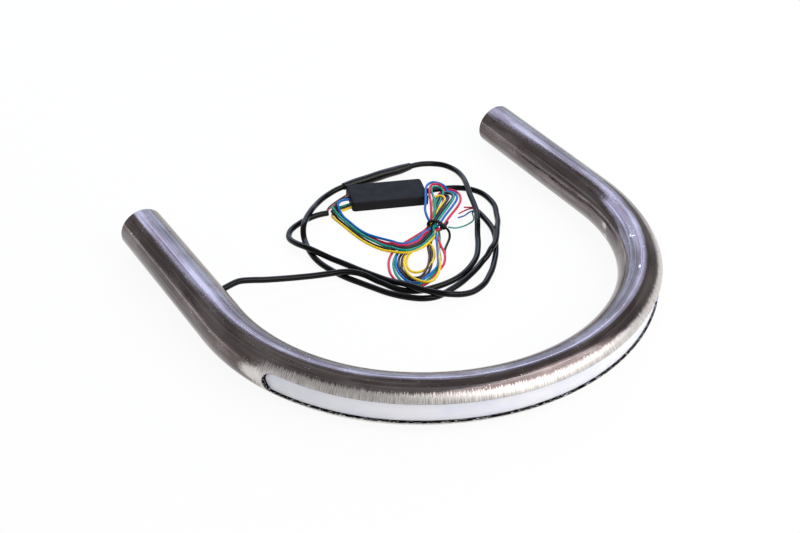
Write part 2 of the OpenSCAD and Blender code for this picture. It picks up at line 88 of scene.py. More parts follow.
SUPPLY_LEAD: Route = (
    (-14.1, 78.1, 1.5), (-17, 78.7, 1.5), (-20.5, 79, 1.5), (-24.5, 78.7, 1.5), (-29.5, 77.7, 1.5),
    (-35.5, 75.5, 1.5), (-40, 72.5, 1.5), (-42.9, 67.5, 1.8), (-43.2, 60.5, 3.4),
    (-41.7, 53.8, 4.8), (-39.8, 49.9, 4.7), (-37, 46.2, 3.6), (-33.9, 42.4, 2.3), (-31, 38.3, 1.6),
    (-28.4, 33.2, 1.5), (-25.9, 27.8, 1.5), (-23.3, 22.9, 1.5), (-20.7, 18.1, 1.5),
    (-18.6, 14.2, 1.6), (-16.7, 10, 2.5), (-15.1, 5.6, 4), (-13.5, 1.3, 4.8), (-11.2, -2.9, 4.9),
    (-8, -6.6, 4.8), (-4.8, -9.8, 4.7), (-0.5, -12.4, 4.2), (5.5, -13.5, 2.6), (11.5, -13.5, 1.6),
    (16.5, -12.5, 1.5), (21.5, -10.5, 1.5), (26.5, -7, 1.5), (31.5, -3, 1.5), (36.5, 2, 1.5),
    (41, 7, 1.5), (45.5, 13, 1.5), (49.5, 19, 1.5), (52.5, 25.5, 1.5), (54, 32, 1.5),
    (54.7, 37.5, 1.5), (55, 41.5, 1.5),
)
CORES: tuple[Route, ...] = (
    (
        (55.5, 41.5, 1.9), (55.6, 43.2, 1.9), (54.8, 45.4, 1.7), (52.9, 46.9, 1.6),
        (50.5, 47.6, 2),
    ),
    (
        (54.6, 41.5, 2.1), (54.4, 43, 2.25), (53.1, 44.4, 2.3), (50, 44.9, 2.1), (44.5, 43.9, 2.2),
    ),
    (
        (54.5, 41.5, 1.2), (54.1, 42.6, 1.35), (52.9, 43.5, 1.3), (50.5, 43.3, 1.1),
        (47, 42.4, 0.9), (42.5, 41.6, 1.6),
    ),
    (
        (55.4, 41.5, 1), (55.2, 42.7, 0.7), (54.2, 43.5, 0.45), (52.8, 43.1, 0.4),
        (51.9, 41.3, 0.4), (50.6, 38.8, 0.4), (48.6, 36.9, 0.4), (45, 35.7, 0.4), (41, 35.2, 0.5),
        (36.6, 35.8, 0.6), (33.4, 37.6, 1.2),
    ),
    (
        (-14.1, 78.7, 1.9), (-13.1, 79.7, 1.7), (-11.9, 81.2, 1), (-9.3, 83.1, 0.5),
        (-6, 84.7, 0.4), (-2.5, 86, 0.5), (2.6, 86.6, 1.5),
    ),
    (
        (-14.1, 79, 1.1), (-13.3, 80.9, 0.6), (-11.5, 82.9, 0.4), (-8.9, 84.6, 0.4),
        (-5.6, 86.1, 0.4), (-2, 87.4, 0.5), (3.1, 88, 1.5),
    ),
)
TIE_TAILS: tuple[Route, ...] = (
    (
        (28.9, 36.1, 3.5), (30.1, 34.1, 3.3), (30, 31.8, 2.2), (28.4, 29.3, 1.2),
        (25.6, 26.8, 0.7), (22.6, 24.2, 0.7), (20.4, 22, 0.7), (19.2, 20, 0.7),
    ),
    (
        (29.3, 36.6, 3.9), (31.2, 37, 3.8), (33, 38.4, 3.2), (34.6, 40, 2.4),
    ),
)

# Wire routes: from the controller through the fold, as in the CAD source, and round the bow
WIRE_ROUTES: dict[str, Route] = {
    "yellow": (
        (0.5, 76.8, 1.2), (-0.6, 77.2, 1.2), (-4.5, 77.5, 0.7), (-8, 77.8, 0.7),
        (-11.2, 77.4, 0.7), (-13.2, 75.4, 0.7), (-13.3, 71.5, 0.7), (-12.7, 64.5, 0.7),
        (-12.2, 57.5, 0.7), (-11.3, 50.5, 0.7), (-9.5, 43.8, 0.7), (-6.8, 37.6, 0.9),
        (-4.6, 32.6, 2.2), (-0.3, 28.8, 2.4), (4.7, 27.5, 2.4), (11.7, 28.1, 2.4),
        (17.3, 30.5, 2.4), (22.7, 33.8, 2.4), (25, 40.9, 3.2), (28.6, 44.4, 3.6),
        (33.6, 48.6, 3.7), (37.2, 51.6, 3.6), (41.2, 54.2, 3.3), (44.3, 56.6, 3), (46, 59.6, 2.7),
        (45.2, 62.4, 2.4), (42.4, 62.9, 2.2), (39.6, 60.2, 2), (34.8, 52.4, 2), (30.5, 47, 2),
        (28.2, 39.6, 1), (22.9, 33.9, 1.4), (20, 27.9, 1.8), (16.5, 22, 2.4), (12.5, 15.5, 3),
        (9.1, 10.1, 3.4), (4.6, 5, 3.8), (-0.3, 1.3, 4.2), (-4.4, 0.9, 4.2), (-7, 3.9, 3.8),
        (-7.9, 9.4, 2.8), (-6.6, 16, 1.4), (-4, 22.2, 0.7), (-0.6, 27, 0.7), (3.6, 30.5, 0.7),
        (7.8, 31.8, 0.8), (11.2, 31.5, 1), (14.7, 30.9, 1.4), (16.3, 28.7, 1.6), (15.2, 24.5, 1.6),
        (12, 19.3, 1.4), (7.2, 15.1, 1.2), (2.5, 13.2, 1), (-1.9, 13.3, 0.9), (-4, 15.8, 0.7),
        (-3.5, 19.9, 0.7), (-0.7, 24.6, 0.7), (3.3, 28.2, 0.7), (7.8, 30, 0.7), (12.3, 31.2, 0.7),
        (17.5, 33.6, 0.7), (23.2, 37.3, 0.8),
    ),
    "black": (
        (1, 78.2, 1.2), (-0.1, 78.6, 1.2), (-4, 79.1, 0.7), (-7.5, 79.4, 0.7), (-9.8, 79.4, 0.9),
        (-11.6, 78.7, 1.6), (-12.4, 76.8, 2.2), (-12.2, 74, 1.6), (-11.9, 71, 0.8),
        (-11.4, 64.5, 0.7), (-10.9, 57.5, 0.7), (-10, 50.6, 0.7), (-8.2, 44.2, 0.7),
        (-5.5, 38.5, 0.9), (-3.5, 34, 2.2), (0.3, 32.4, 2.2), (4.8, 30.6, 2.2), (11.8, 30.9, 2.2),
        (16.6, 33.2, 2.3), (21.5, 35.9, 2.4), (23.7, 39, 3.8), (26.5, 40.9, 4.2),
        (34.2, 46.3, 4.1), (42.6, 51.9, 3.7), (47.4, 55.2, 3.1), (50.6, 58.2, 2.8),
        (51.2, 61.4, 2.4), (49, 63.7, 2.1), (45.6, 62.8, 1.9), (39.8, 57.3, 1.9),
        (33.1, 50.4, 1.9), (28.2, 45.2, 1.8), (27.2, 40.9, 1), (23.4, 35.8, 1), (17.4, 30.1, 1),
        (12.4, 21.9, 1), (7.7, 15.3, 1.2), (3.4, 10.9, 1.5), (-1.2, 7.8, 1.8), (-5, 6.9, 1.6),
        (-7.7, 9.2, 1), (-8.8, 13, 0.7), (-8.6, 17, 0.7), (-7.4, 21.5, 0.7), (-3, 27.8, 0.8),
        (3, 31.4, 0.8), (10, 34.3, 0.8), (17, 37.1, 0.8), (23.9, 40.9, 1),
    ),
    "green": (
        (1.5, 79.7, 1.2), (0.4, 80.1, 1.2), (-3.5, 80.7, 0.7), (-6.3, 81.1, 0.7),
        (-8.6, 81.4, 1.3), (-10.3, 80.5, 2.4), (-11.1, 77.7, 3), (-11.1, 74.5, 2.5),
        (-11, 71.5, 2), (-10.6, 64.5, 1.9), (-10.1, 57.5, 1.9), (-9, 50.8, 1.9), (-6.8, 44.6, 1.7),
        (-4.3, 39.4, 1.3), (-2.4, 35.4, 2.2), (-0.7, 30.1, 3.4), (3.8, 27.8, 3.4),
        (11.3, 28.9, 2.8), (16.9, 31.8, 2.4), (22.1, 34.8, 2.4), (24.1, 37.8, 3.8),
        (26.7, 39.5, 4.2), (34.3, 45, 4), (43.6, 51.4, 3.6), (49.2, 55.8, 3.1), (51.8, 59.2, 2.7),
        (51.4, 62.4, 2.3), (48.6, 64, 2), (45.2, 62.6, 1.8), (41.1, 59.5, 1.9), (35.6, 53.4, 1.9),
        (29.7, 45.9, 1.8), (28.5, 40, 0.9), (25.4, 33.9, 0.9), (22, 29, 0.8), (18, 23.5, 0.8),
        (13.3, 15.7, 1.6), (7.9, 10.2, 2.1), (3.9, 7.6, 2.1), (-1.9, 4.7, 1.9), (-7.1, 4.6, 0.9),
        (-10.9, 7.5, 0.7), (-12.4, 12.1, 0.7), (-11.4, 18.6, 0.7), (-7.9, 25.6, 0.7),
        (-3, 30.5, 0.8), (3, 34.3, 0.8), (10, 36.9, 0.8), (17.5, 39.1, 0.8), (21.6, 40.6, 0.8),
        (25.4, 42, 1.6), (28.6, 44.3, 3.6), (32, 48, 5), (36.3, 54.5, 5.6), (39.8, 61.2, 5),
        (41.7, 65.2, 4.6), (43.9, 68.3, 4.1), (46.7, 69.6, 3.6), (49.1, 68.2, 3.1),
        (49.3, 65.4, 2.6), (47.2, 62.4, 2.1), (43, 59, 1.6), (37.3, 54.1, 1.6), (30.3, 46.7, 1.6),
    ),
    "brown": (
        (2.8, 83.3, 3.2), (1.7, 83.7, 3.2), (-2.5, 83.2, 3.3), (-5.8, 82.2, 3.4),
        (-8.2, 80.3, 3.2), (-9.5, 77.6, 2.5), (-10, 74, 1.1), (-9.9, 71, 0.7), (-9.7, 65.5, 0.7),
        (-9.3, 58, 0.7), (-8.2, 51.5, 0.7), (-5.9, 45.4, 0.7), (-3.3, 40.3, 0.9),
        (-1.4, 36.8, 2.2), (0.5, 33.7, 2.4), (4.7, 31.7, 2.4), (11.7, 32, 2.4), (16.2, 34.4, 2.4),
        (20.9, 36.9, 2.4), (24.3, 41.2, 2.8), (27.2, 42.9, 3.6), (34.6, 48.4, 3.6),
        (41.4, 53.3, 3.3), (45.4, 56, 3), (48.4, 58.8, 2.6), (48.9, 61.8, 2.1), (46.6, 63.8, 1.6),
        (43.4, 62.2, 1.2), (38.6, 55.7, 0.9), (31.9, 48.2, 1), (26.7, 40.2, 1), (21.9, 36, 1),
        (15.8, 30.2, 1), (10.8, 21.6, 1), (6.3, 15.9, 1.2), (2.2, 12, 1.7), (-1, 9.6, 1.8),
        (-4.1, 8.9, 1.5), (-6.6, 11, 1), (-7.5, 14.6, 0.7), (-7.3, 18.2, 0.7), (-6.2, 20.9, 0.7),
        (-2, 26.5, 0.8), (3.5, 30, 0.8), (10, 32.9, 0.8), (16.5, 35.9, 0.8), (22.9, 39.6, 1),
    ),
    "red": (
        (3.3, 84.7, 2.4), (2.2, 85.1, 2.4), (-1.8, 84.6, 1.7), (-4.2, 83.6, 1.5), (-6, 82.3, 1.9),
        (-7, 80.5, 2.2), (-7.7, 78.2, 2.1), (-8.3, 75, 1.1), (-8.6, 72, 0.7), (-8.3, 65.5, 0.7),
        (-7.9, 58.5, 0.7), (-6.7, 52.2, 0.7), (-4.4, 46.2, 0.7), (-1.9, 41.4, 0.9),
        (-0.2, 38, 2.2), (1.2, 35.3, 2.4), (5.2, 33.1, 2.4), (11.7, 33.3, 2.4), (15.9, 35.7, 2.4),
        (20.3, 37.9, 2.4), (26.1, 36.6, 2.6), (30, 38, 2.6), (39.5, 44.2, 2.6), (47.5, 49.2, 2.6),
        (52.7, 53.9, 2.4), (55.4, 59.4, 2.2), (54.6, 64, 2), (51.3, 66.3, 1.6), (46.9, 65.5, 1),
        (42, 61.5, 0.8), (36, 53.5, 0.8), (29.9, 46.2, 1), (26.9, 41.8, 1.2), (24.3, 35.7, 1.6),
        (22, 30, 2), (20, 25, 2), (17.5, 18, 2), (13, 12, 2), (8, 8.5, 2), (3, 5.6, 2),
        (-2, 2.9, 2), (-7.5, 3.1, 0.9), (-12, 6.3, 0.7), (-14.3, 11.1, 0.7), (-14.4, 16.6, 0.7),
        (-13, 21.5, 0.8), (-9.7, 27.2, 1), (-5.2, 31.8, 1), (1, 36, 0.8), (9, 38, 0.8),
        (17, 40.1, 0.8), (21.4, 41.4, 0.9), (24.9, 42.7, 1.9), (27.8, 45.4, 3.6),
        (30.9, 49.8, 4.9), (34.8, 56.2, 5.8), (38.8, 63.2, 5.8), (43.2, 68.8, 4.9),
        (46.3, 70.9, 4.4), (49.3, 70.1, 4), (50.4, 67.2, 3.2), (49.6, 64.4, 2.2), (48, 62.1, 1.4),
        (41.8, 55.4, 1.6), (34.7, 48.8, 1.8), (28.7, 43.6, 1.8),
    ),
    "blue": (
        (2.2, 81.5, 2.9), (1.1, 81.9, 2.9), (-3, 81.6, 3.8), (-5.8, 80.6, 4.3), (-7.8, 78.9, 4.1),
        (-8.8, 76.3, 3.4), (-9.3, 71.5, 2.1), (-9, 64.5, 2), (-8.5, 58, 2), (-7.2, 52.3, 2),
        (-4.7, 47.6, 2), (-1.6, 43, 2.1), (0.8, 39.3, 2.3), (2.2, 36.7, 2.4), (5.7, 34.6, 2.4),
        (11.7, 34.6, 2.4), (15.7, 37, 2.4), (19.6, 38.4, 2.5), (22.6, 38.2, 3.2),
        (25.6, 38.4, 3.6), (28.1, 38.7, 3.6), (35.6, 44, 3.6), (44.8, 50, 3.4), (51.1, 55, 3),
        (53.1, 59.4, 2.8), (52, 63.1, 2.4), (48.7, 64.5, 1.8), (43.9, 62.5, 1), (38, 55.9, 0.8),
        (31.4, 47.2, 1), (27.3, 41.4, 1.2), (22.9, 33.5, 2.6), (18.3, 26, 2.8), (13.3, 18, 2.8),
        (8.3, 11, 2.8), (2.5, 7.8, 2.6), (-3.2, 6, 2.2), (-7, 5.7, 1.4), (-9.3, 8.5, 0.8),
        (-10.3, 13.6, 0.7), (-9.1, 20.6, 0.7), (-4.5, 28.5, 0.8), (1, 32.7, 0.8), (9, 35.7, 0.8),
        (17, 38.1, 0.8), (21.6, 39.7, 0.9), (24.6, 41.6, 1.9), (25.9, 44.4, 3.4),
        (26.8, 48.2, 4.5), (28.8, 52.5, 5.2), (32.6, 57.5, 6), (37.3, 64.5, 6.4), (41.9, 70, 5.6),
        (47.1, 72.5, 4.6), (50.3, 70.2, 4.2), (51.6, 67, 3.6), (51.3, 64.5, 2.4), (48.7, 61, 1.2),
        (43, 55, 0.8), (36, 48.5, 0.8), (29.9, 43.5, 1),
    ),
}



class FarEnd(Enum):
    """What a cord ends in."""

    OBJECT = "object"
    BARE = "bare"


class Stiffness(Enum):
    """How a cord bends."""

    LIMP = "limp"
    MEDIUM = "medium"


def linear(code: str) -> tuple[float, float, float, float]:
    """Turn a hex sRGB colour into the linear RGBA that shader sockets take.

    Args:
        code: Six hex digits, with a leading #.

    Returns:
        Linear red, green and blue, and an alpha of 1.
    """
    values = [int(code[i : i + 2], 16) / 255 for i in (1, 3, 5)]
    red, green, blue = (v / 12.92 if v <= 0.04045 else ((v + 0.055) / 1.055) ** 2.4 for v in values)
    return red, green, blue, 1.0


class Graph:
    """A node tree, and the one way in which nodes are added to it."""

    def __init__(self, tree: bpy.types.NodeTree) -> None:
        """Take the tree."""
        self.tree = tree

    def node(
        self,
        kind: str,
        inputs: Sequence[Value] | dict[int | str, Value] = (),
        out: int | str = 0,
        **settings: object,
    ) -> Socket:
        """Add a node with its settings and links.

        Args:
            kind: Blender's type name of the node, without its first word, ShaderNode.
            inputs: What its inputs take, in their order, or else by name or place.
            out: Name or place of the output that is wanted.
            settings: Settings of the node itself.

        Returns:
            That output.
        """
        made = self.tree.nodes.new("ShaderNode" + kind)
        for key, value in settings.items():
            setattr(made, key, value)
        for key, value in inputs.items() if isinstance(inputs, dict) else enumerate(inputs):
            self.feed(made.inputs[key], value)
        return made.outputs[out]

    def feed(self, socket: Socket, value: Value) -> None:
        """Link an input, or set it.

        Args:
            socket: The input.
            value: An output to link it to, a hex colour, a number or a vector.
        """
        if isinstance(value, bpy.types.NodeSocket):
            self.tree.links.new(value, socket)
        else:
            socket.default_value = linear(value) if isinstance(value, str) else value


class Shade(Graph):
    """One procedural material and the nodes that feed its Principled BSDF."""

    def __init__(self, name: str, **inputs: Value) -> None:
        """Make the material.

        Args:
            name: Name of the material.
            inputs: What the BSDF's inputs take, named with _ in place of each space.
        """
        self.material = bpy.data.materials.new(name)
        self.material.use_nodes = True
        super().__init__(self.material.node_tree)
        self.bsdf = self.tree.nodes["Principled BSDF"]
        self.set(**inputs)

    def set(self, **inputs: Value) -> None:
        """Set or link inputs of the BSDF, named with _ in place of each space."""
        for key, value in inputs.items():
            self.feed(self.bsdf.inputs[key.replace("_", " ")], value)


# Settings that recur: a smooth step from one value to another, and a blend of two colours, whose
# inputs are the share, the colour under it and the colour over it
SOFT = {"interpolation_type": "SMOOTHSTEP"}
BLEND = {"data_type": "RGBA", "out": 2}
SHARE, UNDER, OVER = 0, 6, 7


@dataclass(frozen=True)
class Pattern:
    """Noise of a real size.

    The place is divided by the size of the features, and noise gives 0 to 1 there.

    Attributes:
        size: Size of its features along each axis.
        detail: Number of finer and finer layers of noise.
        rough: Weight of each layer against the one before.
    """

    size: Point
    detail: float = 3.0
    rough: float = 0.55

    def lay(self, graph: Graph, at: Socket) -> Socket:
        """Add the pattern.

        Args:
            graph: Tree that it is added to.
            at: Place on the surface, in metres.

        Returns:
            The noise, from 0 to 1.
        """
        scale = [1 / (MM * s) for s in self.size]
        scaled = graph.node("VectorMath", (at, scale), operation="MULTIPLY")
        inputs = {"Vector": scaled, "Scale": 1.0, "Detail": self.detail, "Roughness": self.rough}
        return graph.node("TexNoise", inputs)


@dataclass(frozen=True)
class Mark:
    """A scuff, scratch or polished patch at one place on the tube.

    Attributes:
        centre: Its middle: along the tube, outwards and upwards from the tube's own middle.
        size: How far it reaches along each of these.
        tint: Its colour.
        ragged: How far noise breaks up its border, as a share of its reach.
    """

    centre: Point
    size: Point
    tint: str
    ragged: float = 0.4

    def lay(self, graph: Graph, at: Socket, noise: Socket, below: Socket) -> Socket:
        """Add the mark: its share falls as the distance from its middle grows, over its reach.

        Args:
            graph: Tree that it is added to.
            at: Place on the tube, in metres.
            noise: Noise for its border.
            below: The colour below.

        Returns:
            The colour with the mark on it.
        """
        centre_m = [c * MM for c in self.centre]
        away = graph.node("VectorMath", (at, centre_m), operation="SUBTRACT")
        scale = [1 / (MM * s) for s in self.size]
        scaled = graph.node("VectorMath", (away, scale), operation="MULTIPLY")
        reach = graph.node("VectorMath", (scaled,), "Value", operation="LENGTH")
        border = graph.node("MapRange", (noise, 0.3, 0.7, -self.ragged, self.ragged), **SOFT)
        reach = graph.node("Math", (reach, border), operation="ADD")
        share = graph.node("MapRange", (reach, 0.4, 1.1, 0.85, 0.0), **SOFT)
        return graph.node("Mix", {SHARE: share, UNDER: below, OVER: self.tint}, **BLEND)


@dataclass(frozen=True)
class RawSteel:
    """Mild steel tube, drawn, bent and left raw, then sanded across by the window.

    The eye gets a dark, nearly mirror-like brown grey with lengthwise draw lines and clouds of
    oxide, a pale brushed band beside the window, and painted shade, nearly black, with bright burrs
    on the torn edge where the window was cut.

    The skin carries four values: flat, the place on the straightened tube; band, how far it is
    sanded; heat, how far the bend browned it; and cut, which is 1 on the cut edge, where shade is
    painted.

    Attributes:
        base: Colour of the thinnest oxide.
        heated: Colour of the steel that the bend browned.
        sanded: Colours of the sanded band, between its scratches and on them.
        speck: Colour of the bright specks.
        edge: Colours of the cut edge: painted shade, nearly black, and its bright burrs.
        blotch: Broad blotches of the oxide, also where it was heated.
        cloud: Smaller clouds of oxide.
        lines: Draw lines along the tube.
        broad_lines: Wider, darker streaks along it.
        fine: Fine unevenness, in the gloss, the relief and the marks' borders.
        sanding: Scratches across the tube.
        fringe: What makes the sanded band's border ragged.
        grit: Where the bright specks are.
        burr: Where metal is torn on the cut edge.
        marks: Scuffs, scratches and polished patches.
    """

    base: str = "#5c5252"
    heated: str = "#70504a"
    sanded: tuple[str, str] = ("#a59b99", "#efece9")
    speck: str = "#f2f2f2"
    # Painted shade on the cut edge, nearly black, and the bright burrs on it
    edge: tuple[str, str] = ("#0d0c0e", "#f4f4f4")
    blotch: Pattern = Pattern((34, 9, 9), 4.0)
    cloud: Pattern = Pattern((11, 5, 5), 4.0, 0.65)
    lines: Pattern = Pattern((120, 0.24, 0.24), 2.0, 0.6)
    broad_lines: Pattern = Pattern((160, 1.3, 1.3), 2.0)
    fine: Pattern = Pattern((1.3, 0.9, 0.9), 3.0, 0.7)
    sanding: Pattern = Pattern((0.22, 8, 8), 3.0, 0.7)
    fringe: Pattern = Pattern((0.5, 4, 4), 4.0, 0.75)
    grit: Pattern = Pattern((0.8, 0.5, 0.5), 1.0)
    burr: Pattern = Pattern((1.1, 0.7, 0.7), 3.0, 0.7)
    marks: tuple[Mark, ...] = (
        Mark((134.1, -10.8, 2.0), (3.2, 5.0, 1.9), "#c9c6c2"),
        Mark((131.0, -10.5, -2.6), (2.2, 5.0, 1.2), "#d6d3cf"),
        Mark((110.6, -4.2, 10.2), (0.25, 1.6, 1.6), "#f4f4f4"),
        Mark((111.8, -4.9, 9.8), (1.0, 0.3, 3.0), "#dedede"),
        Mark((84.1, -1.7, 10.9), (1.5, 0.5, 3.0), "#e6e6e6"),
        Mark((-130.0, 10.9, 1.0), (8.0, 6.0, 4.2), "#dcd8d5", 0.1),
    )

    def make(self) -> Material:
        """Make the material.

        Returns:
            The material.
        """
        shade = Shade("raw tube steel", Metallic=1.0)
        flat = shade.node("Attribute", out="Vector", attribute_name="flat")
        heat, cut, band = (
            shade.node("Attribute", out="Fac", attribute_name=name)
            for name in ("heat", "cut", "band")
        )
        blotch, lines, fine, sanding, fringe = (
            pattern.lay(shade, flat)
            for pattern in (self.blotch, self.lines, self.fine, self.sanding, self.fringe)
        )
        ragged = shade.node("MapRange", (fringe, 0.3, 0.7, -0.2, 0.2), **SOFT)
        band = shade.node("Math", (band, ragged), operation="ADD")
        band = shade.node("MapRange", (band, 0.28, 0.78), **SOFT)

        oxide = self._oxide(shade, flat, blotch, lines, heat)
        scratched = shade.node("MapRange", (sanding, 0.34, 0.62), **SOFT)
        dull, bright = self.sanded
        bright = shade.node("Mix", {SHARE: scratched, UNDER: dull, OVER: bright}, **BLEND)
        colour = shade.node("Mix", {SHARE: band, UNDER: oxide, OVER: bright}, **BLEND)
        for mark in self.marks:
            colour = mark.lay(shade, flat, fine, colour)
        grit = shade.node("MapRange", (self.grit.lay(shade, flat), 0.76, 0.79), **SOFT)
        colour = shade.node("Mix", {SHARE: grit, UNDER: colour, OVER: self.speck}, **BLEND)
        # The cut edge gets painted shade, nearly black, broken by bright burrs where metal is torn
        torn = shade.node("MapRange", (self.burr.lay(shade, flat), 0.55, 0.6), **SOFT)
        dark, light = self.edge
        edge = shade.node("Mix", {SHARE: torn, UNDER: dark, OVER: light}, **BLEND)
        colour = shade.node("Mix", {SHARE: cut, UNDER: colour, OVER: edge}, **BLEND)

        gloss = shade.node("MapRange", (fine, 0.3, 0.7, 0.08, 0.15), **SOFT)
        duller = shade.node("Math", (band, 0.28), operation="MULTIPLY")
        roughness = shade.node("Math", (gloss, duller), operation="ADD")
        brushed = shade.node("Math", (sanding, band), operation="MULTIPLY")
        relief: dict[str, Value] = {}
        for height, depth, strength in (
            (lines, 0.03, 0.8),
            (brushed, 0.05, 0.9),
            (fine, 0.006, 0.5),
        ):
            bump = {"Height": height, "Distance": depth * MM, "Strength": strength, **relief}
            relief = {"Normal": shade.node("Bump", bump)}
        shade.set(Base_Color=colour, Roughness=roughness, **relief)
        return shade.material

    def _oxide(
        self, shade: Shade, flat: Socket, blotch: Socket, lines: Socket, heat: Socket
    ) -> Socket:
        """Lay the oxide's colours over each other, and brown it where the bend was heated.

        Args:
            shade: The material.
            flat: Place on the straightened tube.
            blotch: Noise of the blotches.
            lines: Noise of the draw lines.
            heat: How far the place was heated.

        Returns:
            The oxide's colour.
        """
        cloud = self.cloud.lay(shade, flat)
        broad_lines = self.broad_lines.lay(shade, flat)
        oxide: Value = self.base
        # Pattern, value up to which nothing shows, value from which most of the colour does
        for noise, low, high, most, tint in (
            (blotch, 0.38, 0.64, 1.0, "#7d7473"),
            (cloud, 0.48, 0.7, 0.6, "#574540"),
            (lines, 0.55, 0.66, 0.6, "#a9a4aa"),
            (broad_lines, 0.52, 0.7, 0.5, "#4a4241"),
        ):
            share = shade.node("MapRange", (noise, low, high, 0.0, most), **SOFT)
            oxide = shade.node("Mix", {SHARE: share, UNDER: oxide, OVER: tint}, **BLEND)
        patchy = shade.node("MapRange", (blotch, 0.4, 0.6, 0.1, 1.0), **SOFT)
        share = shade.node("Math", (heat, patchy), operation="MULTIPLY")
        return shade.node("Mix", {SHARE: share, UNDER: oxide, OVER: self.heated}, **BLEND)


@dataclass(frozen=True)
class MilkySilicone:
    """Extruded translucent silicone.

    The eye gets a milky, faintly blue white with soft clouds, a satin skin and a little waviness.

    Attributes:
        tints: Its two colours, between which the clouds drift.
        cloud: The clouds.
        wave: The waviness of its skin.
        wave_depth: Depth of that.
    """

    tints: tuple[str, str] = ("#eceefb", "#f8f8ff")
    cloud: Pattern = Pattern((22, 22, 9), 2.0)
    wave: Pattern = Pattern((5, 5, 3), 2.0)
    wave_depth: float = 0.05

    def make(self) -> Material:
        """Make the material.

        Returns:
            The material.
        """
        shade = Shade(
            "milky silicone",
            Roughness=0.42,
            Subsurface_Weight=0.35,
            Subsurface_Scale=0.002,
            Subsurface_Radius=(1.0, 0.95, 0.9),
        )
        at = shade.node("TexCoord", out="Object")
        share = shade.node("MapRange", (self.cloud.lay(shade, at), 0.3, 0.7), **SOFT)
        wave = self.wave.lay(shade, at)
        bump = {"Height": wave, "Distance": self.wave_depth * MM, "Strength": 0.3}
        under, over = self.tints
        shade.set(
            Base_Color=shade.node("Mix", {SHARE: share, UNDER: under, OVER: over}, **BLEND),
            Normal=shade.node("Bump", bump),
        )
        return shade.material


@dataclass(frozen=True)
class Plastic:
    """Moulded or extruded plastic.

    The eye gets an even colour that drifts a little darker in soft patches, with the gloss
    drifting along, and a fine grain.

    Attributes:
        name: Name of the material.
        colour: Its hex colour.
        roughness: Its mean roughness.
        grain: Size of the grain.
        depth: Depth of the grain.
        ior: Its refractive index, lower for a duller skin.
        drift: Share of black in the darker patches.
        patch: Size of the patches, in grains.
    """

    name: str
    colour: str
    roughness: float
    grain: float
    depth: float
    ior: float = 1.4
    drift: float = 0.15
    patch: float = 14.0

    def make(self) -> Material:
        """Make the material.

        Returns:
            The material.
        """
        shade = Shade(self.name, IOR=self.ior)
        at = shade.node("TexCoord", out="Object")
        grain = Pattern((self.grain,) * 3, 2.0).lay(shade, at)
        patch = Pattern((self.grain * self.patch,) * 3, 2.0).lay(shade, at)
        share = shade.node("MapRange", (patch, 0.3, 0.7), **SOFT)
        drift = {SHARE: self.drift, UNDER: self.colour, OVER: "#000000"}
        darker = shade.node("Mix", drift, **BLEND)
        gloss = (patch, 0.3, 0.7, self.roughness - 0.05, self.roughness + 0.06)
        bump = {"Height": grain, "Distance": self.depth * MM, "Strength": 0.6}
        shade.set(
            Base_Color=shade.node("Mix", {SHARE: share, UNDER: darker, OVER: self.colour}, **BLEND),
            Roughness=shade.node("MapRange", gloss, **SOFT),
            Normal=shade.node("Bump", bump),
        )
        return shade.material


@dataclass(frozen=True)
class BareMetal:
    """Small plain metal piece, rolled or soldered.

    The eye gets a soft shine, greyed by tarnish in patches.

    Attributes:
        name: Name of the material.
        colour: Its hex colour.
        roughness: Its roughness.
        tarnish: The patches.
    """

    name: str
    colour: str
    roughness: float
    tarnish: Pattern = Pattern((1.4,) * 3, 2.0)

    def make(self) -> Material:
        """Make the material.

        Returns:
            The material.
        """
        shade = Shade(self.name, Metallic=1.0, Roughness=self.roughness)
        at = shade.node("TexCoord", out="Object")
        share = shade.node("MapRange", (self.tarnish.lay(shade, at), 0.35, 0.7, 0.0, 0.3), **SOFT)
        greyed = {SHARE: share, UNDER: self.colour, OVER: "#5a5a5a"}
        shade.set(Base_Color=shade.node("Mix", greyed, **BLEND))
        return shade.material


# Insulation of the wires
INSULATION = {
    "yellow": "#ffd90f",
    "black": "#0c0c0e",
    "green": "#009a88",
    "brown": "#3a1916",
    "red": "#e01450",
    "blue": "#006ec4",
}

# Finishes of the CAD nodes that stay hidden inside, or under the case
INSIDE = {
    "strip_backing": BareMetal("backing aluminium", "#c8c8c5", 0.35),
    "led_circuit": Plastic("circuit film", "#e9e7de", 0.4, 0.6, 0.01),
    "brake_leds": Plastic("red emitter", "#d8392b", 0.15, 0.6, 0.005),
    "indicator_leds": Plastic("amber emitter", "#e59a2a", 0.15, 0.6, 0.005),
    "strip_resistors": Plastic("chip black", "#1d1d1f", 0.3, 0.3, 0.01),
    "solder_pads": BareMetal("solder", "#c2c4c7", 0.22),
    "strip_cores": Plastic("strip core", "#7a1f36", 0.4, 0.4, 0.01),
    "inner_lead": Plastic("inner sheath", "#17171a", 0.36, 0.5, 0.015),
    "controller_base": Plastic("base moulding", "#26272b", 0.5, 0.35, 0.03),
    "controller_board": Plastic("solder mask", "#1b5c37", 0.3, 0.5, 0.01),
    "controller_chips": Plastic("package black", "#1a1a1c", 0.4, 0.3, 0.01),
    "controller_resistors": Plastic("resistor body", "#25252a", 0.4, 0.3, 0.01),
}


